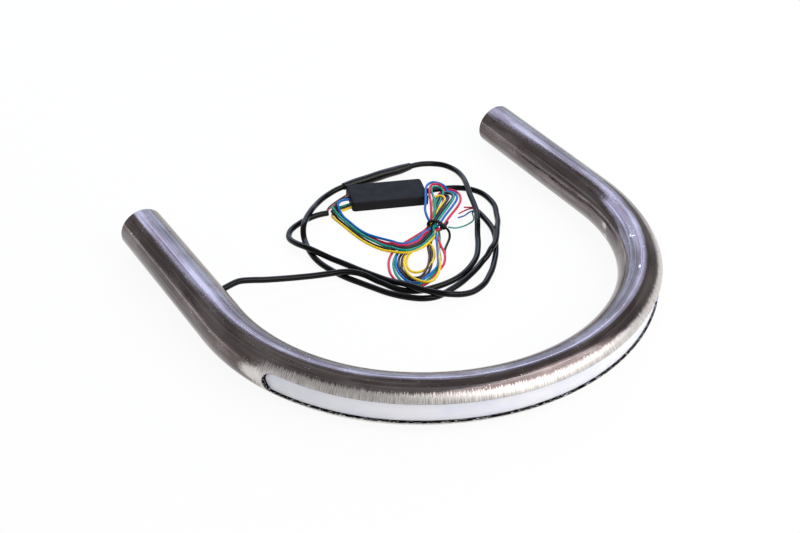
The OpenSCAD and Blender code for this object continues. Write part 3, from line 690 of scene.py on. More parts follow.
@dataclass(frozen=True)
class Finishes:
    """Every material of the object."""

    steel: Material
    silicone: Material
    sheath: Material
    shrink: Material
    case: Material
    tie: Material
    core: Material
    wires: dict[str, Material]
    inside: dict[str, Material]

    @classmethod
    def make(cls) -> Finishes:
        """Make them all.

        The sheath is extruded PVC, so smooth that it shows a thin highlight. The sleeve is
        heat-shrink tubing, duller and wrinkled. The case is moulded ABS with a matt, sparked skin.
        The tie is a PVC-coated wire. The insulation of wires and cores is extruded PVC.

        Returns:
            The materials.
        """
        return cls(
            steel=RawSteel().make(),
            silicone=MilkySilicone().make(),
            sheath=Plastic("black sheath", "#060607", 0.13, 0.5, 0.003, 1.26).make(),
            shrink=Plastic("shrunk tubing", "#070709", 0.24, 1.0, 0.12, 1.33).make(),
            case=Plastic("charcoal moulding", "#1d1c1f", 0.6, 0.35, 0.03, 1.22).make(),
            tie=Plastic("tie coating", "#0d0c0f", 0.35, 0.6, 0.04, 1.33).make(),
            core=Plastic("core insulation", "#8e1c3a", 0.4, 0.4, 0.01).make(),
            wires={
                colour: Plastic(f"{colour} insulation", code, 0.24, 0.4, 0.006, 1.36).make()
                for colour, code in INSULATION.items()
            },
            inside={node: finish.make() for node, finish in INSIDE.items()},
        )


def arc_length(line: np.ndarray) -> np.ndarray:
    """Distance along a line to each of its points."""
    return np.concatenate([[0.0], np.cumsum(np.linalg.norm(np.diff(line, axis=0), axis=1))])


def evenly(line: np.ndarray, step: float) -> np.ndarray:
    """Resample a line at an even spacing.

    Args:
        line: Its points.
        step: Wanted spacing.

    Returns:
        The new points, as near to that spacing as a whole number of steps allows.
    """
    along = arc_length(line)
    count = max(3, int(round(along[-1] / step)) + 1)
    at = np.linspace(0, along[-1], count)
    return np.column_stack([np.interp(at, along, line[:, k]) for k in range(3)])


def smooth(route: Route, step: float) -> np.ndarray:
    """Sample a smooth curve through a route's points.

    It is the Catmull-Rom curve: between two points it is a cubic whose direction at each of them
    is that from the point before to the point after. Each end point counts twice.

    Args:
        route: The points it goes through.
        step: Wanted spacing of the samples.

    Returns:
        The samples, one row each.
    """
    p = np.asarray(route, float)
    p = np.vstack([p[:1], p, p[-1:]])
    a, b, c, d = p[:-3], p[1:-2], p[2:-1], p[3:]
    count = max(2, int(np.ceil(np.linalg.norm(c - b, axis=1).max() / step)) + 1)
    t = np.linspace(0, 1, count, endpoint=False)[None, :, None]
    a, b, c, d = (q[:, None, :] for q in (a, b, c, d))
    square, cube = (2 * a - 5 * b + 4 * c - d) * t**2, (3 * b - a - 3 * c + d) * t**3
    curve = 0.5 * (2 * b + (c - a) * t + square + cube)
    return evenly(np.vstack([curve.reshape(-1, 3), p[-1:]]), step)


def unit(vectors: np.ndarray) -> np.ndarray:
    """Scale each row to length 1."""
    return vectors / np.linalg.norm(vectors, axis=-1, keepdims=True)


def directions(line: np.ndarray) -> tuple[np.ndarray, np.ndarray, np.ndarray]:
    """Find the directions in which a tube along a line is built.

    Args:
        line: Its points. It is vertical at none of them.

    Returns:
        Unit vectors ahead, level to the side, and square to both at each point.
    """
    ahead = unit(np.gradient(line, axis=0))
    side = unit(np.cross(ahead, UP))
    return ahead, side, np.cross(side, ahead)


def ring_faces(rows: int, columns: int) -> np.ndarray:
    """List the faces of a grid of rows that each close on themselves.

    Args:
        rows: Number of rows.
        columns: Points in each row.

    Returns:
        Four point numbers for each face.
    """
    i, j = np.meshgrid(np.arange(rows - 1), np.arange(columns), indexing="ij")
    k = (j + 1) % columns
    near, far = i * columns, (i + 1) * columns
    return np.stack([near + j, near + k, far + k, far + j], axis=-1).reshape(-1, 4)


def closed_faces(rows: int, columns: int) -> list[list[int]]:
    """List the faces of a closed body made of such rows, with one face on each end.

    Args:
        rows: Number of rows.
        columns: Points in each row.

    Returns:
        Point numbers for each face.
    """
    faces = ring_faces(rows, columns).tolist()
    faces.append(list(range(columns))[::-1])
    faces.append(list(range((rows - 1) * columns, rows * columns)))
    return faces


def tube_points(line: np.ndarray, radius: np.ndarray | float, sides: int) -> np.ndarray:
    """Place the points of a round tube along a line, its two ends slightly rounded.

    Each ring is the centre plus the radius times the cosine of its angle to the side and the
    sine of it upwards. One more ring at each end is narrower by the rounding.

    Args:
        line: Its centreline.
        radius: Its radius, one for all or one for each point of the line.
        sides: Points in each ring.

    Returns:
        Rings of points, as (ring, side, xyz).
    """
    rounding = 0.12  # share of the radius that an end's rounding takes
    ahead, side, above = directions(line)
    radius = np.broadcast_to(np.asarray(radius, float), (len(line),))
    first, last = radius[[0, -1]] * rounding
    near, far = line[:1] + ahead[:1] * first, line[-1:] - ahead[-1:] * last
    line = np.vstack([line[:1], near, line[1:-1], far, line[-1:]])
    side = np.vstack([side[:1], side, side[-1:]])
    above = np.vstack([above[:1], above, above[-1:]])
    radius = np.concatenate([[radius[0] - first], radius, [radius[-1] - last]])
    turn = np.linspace(0, 2 * np.pi, sides, endpoint=False)[None, :, None]
    across = np.cos(turn) * side[:, None, :] + np.sin(turn) * above[:, None, :]
    return line[:, None, :] + radius[:, None, None] * across


def add_mesh(
    name: str,
    points: np.ndarray,
    faces: Sequence[Sequence[int]],
    material: Material,
    *,
    replaces: Sequence[str],
    values: dict[str, np.ndarray] | None = None,
    weld: bool = False,
    sharp: float = 40.0,
) -> Piece:
    """Make a mesh object that rides on the part.

    Args:
        name: Name of the object.
        points: Its points, with xyz as the last axis.
        faces: Point numbers of each face.
        material: Its material.
        replaces: CAD nodes that it stands for.
        values: Numbers or vectors to store on the points, by name. Vectors are in metres.
        weld: Whether to join points that lie in one place.
        sharp: Angle between faces, in degrees, from which an edge stays sharp.

    Returns:
        The object.
    """
    mesh = bpy.data.meshes.new(name)
    mesh.from_pydata((points.reshape(-1, 3) * MM).tolist(), [], faces)
    for key, data in (values or {}).items():
        kind, part = ("FLOAT_VECTOR", "vector") if data.ndim == 2 else ("FLOAT", "value")
        kept = mesh.attributes.new(key, kind, "POINT")
        kept.data.foreach_set(part, data.astype(np.float32).ravel())
    if weld:
        work = bmesh.new()
        work.from_mesh(mesh)
        bmesh.ops.remove_doubles(work, verts=work.verts, dist=1e-6)
        bmesh.ops.recalc_face_normals(work, faces=work.faces)
        work.to_mesh(mesh)
        work.free()
    mesh.update()
    mesh.shade_smooth()
    mesh.set_sharp_from_angle(angle=math.radians(sharp))
    mesh.materials.append(material)
    piece = bpy.data.objects.new(name, mesh)
    bpy.context.scene.collection.objects.link(piece)
    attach(piece, BODY)
    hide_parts(*replaces)
    return piece


@dataclass(frozen=True)
class Bend:
    """Path of the tube, as in the CAD source: a front arc, two corner arcs and two arms.

    Places along it are distances from the middle of the front, positive towards +X.

    Attributes:
        tube_r: Outer radius of the tube.
        bore_r: Inner radius of the tube.
        axis_z: Height of the tube's middle.
        front_r: Radius of the front arc.
        front_y: Y of the front arc's centre.
        corner_r: Radius of a corner arc.
        corner_x: X of a corner arc's centre.
        corner_y: Y of a corner arc's centre, where the arms begin.
        arm_end_y: Y of the sawn ends.
        window_half: Half height of the window.
        window_angle: Turn of the path, in degrees, at which the window's rounded end begins.
        hole_y: Y of the lead's hole in the left arm.
    """

    tube_r: float = 11.0
    bore_r: float = 9.0
    axis_z: float = 11.0
    front_r: float = 115.5
    front_y: float = 28.0
    corner_r: float = 95.5
    corner_x: float = 12.0
    corner_y: float = 12.0
    arm_end_y: float = 98.5
    window_half: float = 5.25
    window_angle: float = 64.6
    hole_y: float = 36.0

    @property
    def front_turn(self) -> float:
        """Turn of the front arc on either side of its middle."""
        return math.asin(self.corner_x / (self.front_r - self.corner_r))

    @property
    def front_len(self) -> float:
        """Length of the front arc on either side of its middle."""
        return self.front_r * self.front_turn

    @property
    def corner_len(self) -> float:
        """Length of a corner arc."""
        return self.corner_r * (math.pi / 2 - self.front_turn)

    @property
    def half_len(self) -> float:
        """Length from the middle to a sawn end."""
        return self.front_len + self.corner_len + self.arm_end_y - self.corner_y

    @property
    def window_end(self) -> float:
        """Place at which the window's rounded end begins."""
        return self.front_len + self.corner_r * (math.radians(self.window_angle) - self.front_turn)

    @property
    def hole(self) -> float:
        """Place of the lead's hole."""
        return -(self.front_len + self.corner_len + self.hole_y - self.corner_y)

    @property
    def stretch(self) -> float:
        """Length of a corner's outer wall, at the wall's middle, for each length of the path."""
        return (self.corner_r + (self.tube_r + self.bore_r) / 2) / self.corner_r

    @property
    def window_reach(self) -> float:
        """Length of the window's rounded end, along the path."""
        return self.window_half / self.stretch

    def past_window(self, s: np.ndarray) -> np.ndarray:
        """Distance into the window's rounded end, measured on the wall, and 0 before it."""
        return np.maximum(np.abs(s) - self.window_end, 0) * self.stretch

    def skin(self, s: np.ndarray, out: np.ndarray, height: np.ndarray) -> np.ndarray:
        """Place points beside the path.

        On either side the front arc, a corner arc and a straight arm follow each other, and each
        starts in the direction in which the one before it ends. On an arc a point is the arc's
        centre plus the radius times the sine and minus the cosine of the path's turn, and beside
        it a point is moved out along the same direction, and up.

        Args:
            s: Places along the path, one for each row.
            out: Distances outwards, as (row, column).
            height: Heights above the path, as (row, column).

        Returns:
            The points, as (row, column, xyz).
        """
        sign = np.where(s < 0, -1.0, 1.0)
        far = np.abs(s)
        front = np.minimum(far, self.front_len) / self.front_r
        corner = np.clip(far - self.front_len, 0, self.corner_len) / self.corner_r
        turn = front + corner
        arm = np.maximum(far - self.front_len - self.corner_len, 0)
        on_front = far <= self.front_len
        radius = np.where(on_front, self.front_r, self.corner_r)
        x = np.where(on_front, 0, self.corner_x) + radius * np.sin(turn)
        y = np.where(on_front, self.front_y, self.corner_y) - radius * np.cos(turn) + arm
        centre = np.column_stack([sign * x, y, np.full_like(x, self.axis_z)])
        outward = np.column_stack([sign * np.sin(turn), -np.cos(turn), np.zeros_like(x)])
        return centre[:, None, :] + out[..., None] * outward[:, None, :] + height[..., None] * UP


@dataclass(frozen=True)
class Tube:
    """The bent steel tube with its window and the lead's hole.

    Attributes:
        bend: Its path.
        outer_steps: Points round the outside.
        inner_steps: Points round the bore.
        row_step: Spacing of the plain rows.
        edge: Chamfer of the cut edges.
        hole_r: Radius of the lead's hole.
        hole_turn: Direction of the hole, in degrees from straight outwards over the top.
        seam_start: Place from which the seam turns from the window's side to the hole's.
        seam_lead: Distance before the hole at which it has turned.
        sawn_len: Length of the rounding of a sawn end.
        sawn_depth: Depth of the rounding of a sawn end.
        band_along: Strength of the sanded band against the distance past the window's end.
        band_round: Strength of the sanded band against the angle from straight outwards.
        heat: How far the bend browned the steel against the place.
        cut_reach: How far past the window's end its cut edge gets painted shade.
    """

    bend: Bend
    outer_steps: int = 96
    inner_steps: int = 40
    row_step: float = 1.8
    edge: float = 0.14
    hole_r: float = 4.0
    hole_turn: float = 172.0
    seam_start: float = -130.0
    seam_lead: float = 6.0
    sawn_len: float = 0.3
    sawn_depth: float = 0.25
    band_along: Curve = ((-12, 4, 15), (1, 0.75, 0))
    band_round: Curve = ((0, 34, 48, 62), (1, 1, 0.62, 0))
    heat: Curve = ((80, 150, 225, 249), (0, 0.55, 0.8, 0.5))
    cut_reach: float = 6.0

    def _rows(self) -> np.ndarray:
        """Choose where the rows stand.

        They are evenly spaced, and closer at the window's rounded ends, at the hole and at the
        sawn ends.

        Returns:
            Places along the path.
        """
        bend = self.bend
        fan = 0.5 - 0.5 * np.cos(np.linspace(0, np.pi, 26))
        tip = bend.window_end + bend.window_reach * np.sin(fan * np.pi / 2)
        beyond = bend.window_end + bend.window_reach + np.array([0.05, 0.4])
        sawn = bend.half_len - np.array([0, 0.4, 1]) * self.sawn_len
        hole = bend.hole + self.hole_r * np.cos(np.linspace(0, np.pi, 41))
        plain = np.arange(-bend.half_len, bend.half_len, self.row_step)
        rows = [plain, hole, tip, -tip, beyond, -beyond, sawn, -sawn]
        return np.unique(np.round(np.concatenate(rows), 4))

    def _gap(self, s: np.ndarray) -> np.ndarray:
        """Find how far each row's loop stays open.

        It is the window's half height, which falls as a half circle at either end, or the half
        width of the round hole.

        Args:
            s: Places of the rows.

        Returns:
            Half the opening of each row, 0 where the tube is whole.
        """
        window = np.maximum(self.bend.window_half**2 - self.bend.past_window(s) ** 2, 0)
        hole = np.maximum(self.hole_r**2 - (s - self.bend.hole) ** 2, 0)
        return np.sqrt(window) + np.sqrt(hole)

    def _seam(self, s: np.ndarray) -> np.ndarray:
        """Find the angle of the opening's middle: 0 at the window, turned smoothly to the hole.

        Args:
            s: Places of the rows.

        Returns:
            Angles from straight outwards.
        """
        length = self.seam_start - self.bend.hole - self.seam_lead
        share = np.clip((self.seam_start - s) / length, 0, 1)
        return math.radians(self.hole_turn) * (share * share * (3 - 2 * share))

    def _loops(self, s: np.ndarray, gap: np.ndarray) -> tuple[np.ndarray, np.ndarray]:
        """Lay a loop round the wall in each row.

        It goes over the outside, through the cut edge and back over the bore. Each of the two
        arcs runs from the opening's one side to the other, at an angle whose sine is the opening
        over the radius.

        Args:
            s: Places of the rows.
            gap: Half the opening of each row.

        Returns:
            Angles from the opening's middle and distances from the path, as (row, column).
        """
        tube_r, bore_r = self.bend.tube_r, self.bend.bore_r
        half_len = self.bend.half_len
        rounding = np.interp(np.abs(s), [half_len - self.sawn_len, half_len], [0, self.sawn_depth])
        edge = np.minimum(gap, self.edge)
        outer_r, inner_r = (tube_r - rounding)[:, None], (bore_r + rounding)[:, None]
        outer_gap = np.arcsin(np.minimum(gap + edge, tube_r) / tube_r)[:, None]
        edge_gap = np.arcsin(gap / tube_r)[:, None]
        inner_gap = np.arcsin(np.minimum(gap, bore_r) / bore_r)[:, None]
        outer = outer_gap + (2 * np.pi - 2 * outer_gap) * np.linspace(0, 1, self.outer_steps)
        inner = inner_gap + (2 * np.pi - 2 * inner_gap) * np.linspace(0, 1, self.inner_steps)
        angle = np.hstack([outer, 2 * np.pi - edge_gap, inner[:, ::-1], edge_gap])
        edge_r = outer_r - edge[:, None]
        outside, bore = np.broadcast_to(outer_r, outer.shape), np.broadcast_to(inner_r, inner.shape)
        return angle, np.hstack([outside, edge_r, bore, edge_r])

    def _faces(self, gap: np.ndarray, columns: int) -> list[list[int]]:
        """List the faces: none on the cut edges where the tube is whole, and a ring on each end.

        Args:
            gap: Half the opening of each row.
            columns: Points in each row.

        Returns:
            Point numbers of each face.
        """
        rows = len(gap)
        quads = ring_faces(rows, columns).reshape(rows - 1, columns, 4)
        whole = (gap[:-1] <= 0) & (gap[1:] <= 0)
        walls = np.zeros(columns, bool)
        walls[[self.outer_steps - 1, self.outer_steps, columns - 2, columns - 1]] = True
        faces = quads[~(whole[:, None] & walls[None, :])].tolist()
        share = np.round(np.linspace(0, self.inner_steps - 1, self.outer_steps)).astype(int)
        for base in (0, (rows - 1) * columns):
            outer = (base + np.arange(self.outer_steps)).tolist()
            partner = (base + self.outer_steps + self.inner_steps - share).tolist()
            for i in range(self.outer_steps - 1):
                corners = [outer[i], outer[i + 1], partner[i + 1], partner[i]]
                faces.append(corners[: 3 if partner[i] == partner[i + 1] else 4])
        return faces

    def _values(
        self, s: np.ndarray, gap: np.ndarray, full: np.ndarray, out: np.ndarray, height: np.ndarray
    ) -> dict[str, np.ndarray]:
        """Work out what the steel's material reads from the skin.

        The sanded band is a share that falls along the path times one that falls round the tube.
        The heat is a share that follows the path. Both are 0 off the outside.

        Args:
            s: Places of the rows.
            gap: Half the opening of each row.
            full: Angles of the points from straight outwards, as (row, column).
            out: Distances of the points outwards, as (row, column).
            height: Heights of the points above the path, as (row, column).

        Returns:
            The values by name, one for each point.
        """
        columns = full.shape[1]
        outside = np.zeros(columns)
        outside[: self.outer_steps] = 1.0
        places, shares = self.band_along
        along = np.interp(np.abs(s), self.bend.window_end + np.array(places), shares)
        wrapped = np.abs((full + np.pi) % (2 * np.pi) - np.pi)
        band = along[:, None] * np.interp(np.degrees(wrapped), *self.band_round) * outside
        heat = np.interp(s, *self.heat)[:, None] * outside
        # Mask of the cut edge, on which the steel paints shade
        edge_columns = np.zeros(columns, bool)
        edge_columns[[self.outer_steps, self.outer_steps + 1, columns - 2, columns - 1]] = True
        open_rows = (np.abs(s) < self.bend.window_end + self.cut_reach) & (gap > 0)
        cut = (open_rows[:, None] & edge_columns).astype(float)
        flat = np.stack([np.repeat(s[:, None], columns, axis=1), out, height], axis=-1)
        return {
            "flat": flat.reshape(-1, 3) * MM,
            "band": band.ravel(),
            "heat": heat.ravel(),
            "cut": cut.ravel(),
        }

    def build(self, finishes: Finishes) -> Piece:
        """Grow the tube as one closed skin of loops round its wall.

        The loops open at the window, and on the left arm at the lead's hole. Elsewhere their two
        cut edges meet and are welded.

        Args:
            finishes: Materials of the object.

        Returns:
            The piece.
        """
        s = self._rows()
        gap = self._gap(s)
        angle, reach = self._loops(s, gap)
        full = angle + self._seam(s)[:, None]
        out, height = reach * np.cos(full), reach * np.sin(full)
        return add_mesh(
            "hoop_tube_surface",
            self.bend.skin(s, out, height),
            self._faces(gap, angle.shape[1]),
            finishes.steel,
            replaces=["hoop_tube"],
            values=self._values(s, gap, full, out, height),
            weld=True,
            sharp=28,
        )


@dataclass(frozen=True)
class Diffuser:
    """The silicone profile: flanges in the bore, a tongue in the window, a pocket behind.

    Attributes:
        bend: Path that it follows.
        row_step: Spacing of the plain rows.
        back: Distance of its back from the path.
        flange: Distance of the flanges' front from the path.
        flange_half: Half height over the flanges.
        neck: Distance from the path at which the tongue starts.
        neck_half: Half height at the tongue's foot.
        face: Distance of the tongue's face from the path.
        crown: How far the face bulges.
        gap: Room between the tongue and the window's edge.
        tip_gap: The same at the tongue's tips, along the path.
        wave: How far its height wanders.
        wave_len: Length over which it wanders once, over a full turn.
        edge: Radius of the face's long edges.
        tip_half: Half height below which the tongue sinks towards its foot.
        pocket_half: Half height of the pocket.
        pocket: Distance of the pocket's bottom from the path.
        pocket_shut: The same past the pocket's ends.
        pocket_turn: Turn, in degrees, from the window's end to the pocket's.
        end_turn: Turn, in degrees, from the window's end to the profile's.
    """

    bend: Bend
    row_step: float = 2.0
    back: float = 4.2
    flange: float = 6.2
    flange_half: float = 6.3
    neck: float = 7.1
    neck_half: float = 5.3
    face: float = 8.5
    crown: float = 0.12
    gap: float = 0.22
    tip_gap: float = 0.25
    wave: float = 0.03
    wave_len: float = 7.0
    edge: float = 0.55
    tip_half: float = 1.2
    pocket_half: float = 4.45
    pocket: float = 7.35
    pocket_shut: float = 4.25
    pocket_turn: float = 0.4
    end_turn: float = 1.9

    def _pocket_end(self) -> float:
        """Place at which the pocket ends."""
        return self.bend.window_end + self.bend.corner_r * math.radians(self.pocket_turn)

    def _rows(self) -> np.ndarray:
        """Choose where the rows stand: evenly, and closer at the tongue's and pocket's ends.

        Returns:
            Places along the path.
        """
        bend = self.bend
        fan = np.sin(np.linspace(0, np.pi / 2, 18))
        tip = bend.window_end + (bend.window_reach - self.tip_gap) * fan
        shut = self._pocket_end()
        last = bend.window_end + bend.corner_r * math.radians(self.end_turn)
        more = np.array([shut - 0.05, shut + 0.05, last])
        plain = np.arange(-bend.window_end, bend.window_end, self.row_step)
        return np.unique(np.round(np.concatenate([plain, tip, -tip, more, -more]), 4))

    def _half(self, s: np.ndarray) -> np.ndarray:
        """Find the half height of the tongue: the window's, less the gap, wandering a little.

        Args:
            s: Places of the rows.

        Returns:
            The half height in each row.
        """
        round_end = (self.bend.window_half - self.gap) ** 2 - self.bend.past_window(s) ** 2
        half = np.sqrt(np.maximum(round_end, 0.0004))
        wander = self.wave * np.sin(s / self.wave_len)
        return half + wander * np.minimum(half / self.bend.window_half, 1)

    def build(self, finishes: Finishes) -> Piece:
        """Sweep the profile along the path.

        Its outline goes up the lower flange and the tongue, over the face and down the other
        side, and then round the pocket. The face bulges as 1 less the square of the height, and
        its long edges are quarter circles.

        Args:
            finishes: Materials of the object.

        Returns:
            The piece.
        """
        s = self._rows()
        half = self._half(s)[:, None]
        shown = np.clip(half / self.tip_half, 0, 1)
        face = self.neck + (self.face - self.neck) * shown
        edge = self.edge * shown
        turn = np.linspace(0, np.pi / 2, 6)
        rise = np.linspace(-1, 1, 13)[1:-1]
        round_out = face - edge * (1 - np.sin(turn))
        round_height = -half + edge * (1 - np.cos(turn))
        face_out = face + self.crown * (1 - rise**2) * shown
        depth = np.where(np.abs(s) < self._pocket_end(), self.pocket, self.pocket_shut)[:, None]
        foot = [self.back, self.flange, self.neck, self.neck]
        foot_height = [-self.flange_half, -self.flange_half, -self.neck_half]

        def same(*columns: float | np.ndarray) -> list[np.ndarray]:
            """Repeat numbers down the rows, as columns."""
            return [np.broadcast_to(np.asarray(c, float), (len(s), 1)) for c in columns]

        out = [*same(*foot), round_out, face_out, round_out[:, ::-1], *same(*foot[::-1])]
        height = [*same(*foot_height), -half, round_height, (half - edge) * rise]
        height += [-round_height[:, ::-1], half, *same(*(-h for h in foot_height[::-1]))]
        out += same(self.back, depth, depth, self.back)
        height += same(self.pocket_half, self.pocket_half, -self.pocket_half, -self.pocket_half)
        points = self.bend.skin(s, np.hstack(out), np.hstack(height))
        return add_mesh(
            "diffuser_profile",
            points,
            closed_faces(*points.shape[:2]),
            finishes.silicone,
            replaces=["light_diffuser"],
            sharp=50,
        )


@dataclass(frozen=True)
class Controller:
    """The small moulded case that the leads and wires meet.

    Attributes:
        length: Its length.
        width: Its width.
        height: Its height.
        centre: X and Y of its middle.
        turn: Its direction, in degrees from +X.
        wall: Its wall.
        corner: Radius of its upright corners.
        edge: Radius of its top edge.
        rim: Chamfer of its bottom rim.
        lip: How far its sides stand in from the rim.
        least_corner: Radius to which a corner shrinks on the inside.
        top: Distances from the side and depths of the last two loops, which dish the top.
    """

    length: float = 41.0
    width: float = 19.0
    height: float = 5.0
    centre: tuple[float, float] = (21.2, 76.7)
    turn: float = -19.5
    wall: float = 1.2
    corner: float = 1.6
    edge: float = 1.0
    rim: float = 0.15
    lip: float = 0.05
    least_corner: float = 0.4
    top: tuple[tuple[float, float], ...] = ((2.5, 0.0), (5.0, 0.06))

    @staticmethod
    def _loop(length: float, width: float, corner: float) -> np.ndarray:
        """Go round a rectangle whose corners are quarter circles.

        Args:
            length: Its length.
            width: Its width.
            corner: Radius of its corners.

        Returns:
            The points, as x and y from its middle.
        """
        turn = np.linspace(0, np.pi / 2, 6)
        corners = []
        for quarter, (sx, sy) in enumerate(((1, 1), (-1, 1), (-1, -1), (1, -1))):
            middle = np.array([sx * (length / 2 - corner), sy * (width / 2 - corner)])
            angle = turn + quarter * np.pi / 2
            corners.append(middle + corner * np.column_stack([np.cos(angle), np.sin(angle)]))
        return np.vstack(corners)

    def build(self, finishes: Finishes) -> Piece:
        """Build the open-bottomed shell as loops from its inner roof down, out and over the top.

        The top edge is a quarter circle: with its angle, the distance from the side grows by 1
        less the cosine and the drop from the top shrinks by 1 less the sine.

        Args:
            finishes: Materials of the object.

        Returns:
            The piece.
        """
        roof = self.height - self.wall
        loops = [(self.wall, roof), (self.wall, 0.0), (self.rim, 0.0), (0.0, self.rim)]
        for angle in np.linspace(0, np.pi / 2, 7):
            inset = self.edge * (1 - math.cos(angle)) + self.lip
            loops.append((inset, self.height - self.edge * (1 - math.sin(angle))))
        loops += [(inset, self.height - depth) for inset, depth in self.top]
        rows = []
        for inset, z in loops:
            corner = max(self.corner - inset * 0.5, self.least_corner)
            plan = self._loop(self.length - 2 * inset, self.width - 2 * inset, corner)
            rows.append(np.column_stack([plan, np.full(len(plan), z)]))
        points = np.array(rows)
        turn = math.radians(self.turn)
        cos, sin = math.cos(turn), math.sin(turn)
        x, y = points[..., 0].copy(), points[..., 1].copy()
        points[..., 0] = self.centre[0] + x * cos - y * sin
        points[..., 1] = self.centre[1] + x * sin + y * cos
        return add_mesh(
            "controller_shell",
            points,
            closed_faces(*points.shape[:2]),
            finishes.case,
            replaces=["controller_case"],
            sharp=35,
        )


@dataclass(frozen=True)
class Sleeve:
    """Shrunk tubing over the joint of two leads.

    Attributes:
        start: Its one end.
        end: Its other end.
        shape: Radius against the distance along it, which follows the joint inside.
        step: Spacing of its rings.
        sides: Points in each ring.
        soften: Number of rings over which the radius is evened out.
        lumps: Height of its lumps and wrinkles, as shares of the radius.
        lump_lens: Their lengths, each over a full turn.
        floor: Height under which none of it goes.
    """

    start: Point = (4.5, 94.2, 2.85)
    end: Point = (47.5, 94.0, 2.85)
    shape: Curve = (
        (0, 2, 7, 14, 22, 29, 34, 38, 41, 43),
        (1.95, 2.05, 2.3, 2.5, 2.65, 2.75, 2.7, 2.35, 1.9, 1.8),
    )
    step: float = 0.7
    sides: int = 28
    soften: int = 9
    lumps: tuple[float, float] = (0.045, 0.0315)
    lump_lens: tuple[float, float] = (2.9, 4.3)
    floor: float = 0.02

    def build(self, finishes: Finishes) -> Piece:
        """Build the tubing: a tube whose radius is smoothed and then varied by two sine waves.

        Args:
            finishes: Materials of the object.

        Returns:
            The piece.
        """
        start, end = np.array(self.start), np.array(self.end)
        line = evenly(np.array([start, (start + end) / 2, end]), self.step)
        along = arc_length(line)
        radius = np.pad(np.interp(along, *self.shape), self.soften // 2, mode="edge")
        radius = np.convolve(radius, np.ones(self.soften) / self.soften, mode="valid")
        points = tube_points(line, radius, self.sides)
        turn = np.linspace(0, 2 * np.pi, self.sides, endpoint=False)[None, :]
        place = np.concatenate([along[:1], along, along[-1:]])[:, None]
        (lump, wrinkle), (lump_len, wrinkle_len) = self.lumps, self.lump_lens
        swell = lump * np.sin(place / lump_len + np.cos(turn))
        swell = swell + wrinkle * np.sin(2 * turn + place / wrinkle_len)
        middle = points.mean(axis=1, keepdims=True)
        points = middle + (points - middle) * (1 + swell[..., None])
        points[..., 2] = np.maximum(points[..., 2], self.floor)
        return add_mesh(
            "splice_tubing",
            points,
            closed_faces(*points.shape[:2]),
            finishes.shrink,
            replaces=["splice_sleeve"],
        )


@dataclass(frozen=True)
class TwistTie:
    """Coated tie round the bow: two turns, a twisted knot and two tails.

    Attributes:
        centre: Middle of the turns.
        turn: Direction of the wires through them, in degrees from +X.
        spread: From where to where the turns lie, along the wires.
        half: Half width and half height of the turns.
        sweep: Half turns at which they start and end, from their one side.
        twists: Half turns of the knot.
        radius: Radius of the strand in the turns, in the knot and in the tails.
        knot: Middle of the knot.
        knot_axis: Direction of the knot.
        knot_half: Half length of the knot.
        knot_r: Radius of its twist.
        lean: How far each strand leans sideways over its length, so that none of it is vertical.
    """

    centre: Point = (26.6, 39.6, 3.3)
    turn: float = 34.0
    spread: tuple[float, float] = (-0.8, 0.9)
    half: tuple[float, float] = (3.95, 2.66)
    sweep: tuple[float, float] = (-0.6, 3.5)
    twists: float = 5
    radius: Point = (0.62, 0.8, 0.65)
    knot: Point = (29.2, 36.3, 3.7)
    knot_axis: Point = (0.35, -0.9, -0.2)
    knot_half: float = 1.6
    knot_r: float = 0.7
    lean: float = 0.01

    def _coil(
        self, turn: np.ndarray, axis: np.ndarray, wide: np.ndarray, high: float
    ) -> np.ndarray:
        """Wind a strand: its centre moves along an axis while it goes round an oval.

        Args:
            turn: Angle of each point.
            axis: Place of the oval's middle for each point.
            wide: Direction and half width of the oval.
            high: Half height of the oval.

        Returns:
            The strand's centreline.
        """
        line = axis + np.cos(turn)[:, None] * wide + high * np.sin(turn)[:, None] * UP
        return line + np.linspace(0, self.lean, len(line))[:, None] * np.array([1.0, 1.0, 0.0])

    def build(self, finishes: Finishes) -> Piece:
        """Build the turns, the knot and the tails as one piece.

        Args:
            finishes: Materials of the object.

        Returns:
            The piece.
        """
        cos, sin = math.cos(math.radians(self.turn)), math.sin(math.radians(self.turn))
        along, across = np.array([cos, sin, 0.0]), np.array([-sin, cos, 0.0])
        wide, high = self.half
        first, last = self.sweep
        turns = np.linspace(first * np.pi, last * np.pi, 90)
        axis = np.array(self.centre) + np.linspace(*self.spread, len(turns))[:, None] * along
        loop = self._coil(turns, axis, wide * across, high)
        twists = np.linspace(0, self.twists * np.pi, 60)
        shift = np.linspace(-self.knot_half, self.knot_half, len(twists))[:, None]
        axis = np.array(self.knot) + shift * unit(np.array(self.knot_axis))
        knot = self._coil(twists, axis, self.knot_r * along, self.knot_r)
        loop_r, knot_r, tail_r = self.radius
        parts = [tube_points(loop, loop_r, 12), tube_points(knot, knot_r, 12)]
        parts += [tube_points(smooth(tail, 0.5), tail_r, 10) for tail in TIE_TAILS]
        faces: list[list[int]] = []
        base = 0
        for part in parts:
            faces += [[base + k for k in face] for face in closed_faces(*part.shape[:2])]
            base += part.shape[0] * part.shape[1]
        return add_mesh(
            "twist_tie_strand",
            np.vstack([part.reshape(-1, 3) for part in parts]),
            faces,
            finishes.tie,
            replaces=["twist_tie"],
        )


@dataclass(frozen=True)
class Gauge:
    """What every cord of one kind shares.

    Attributes:
        diameter: Its diameter.
        step: Spacing of its rings.
        sides: Points in each ring.
        stiffness: How it bends.
    """

    diameter: float
    step: float
    sides: int
    stiffness: Stiffness = Stiffness.LIMP


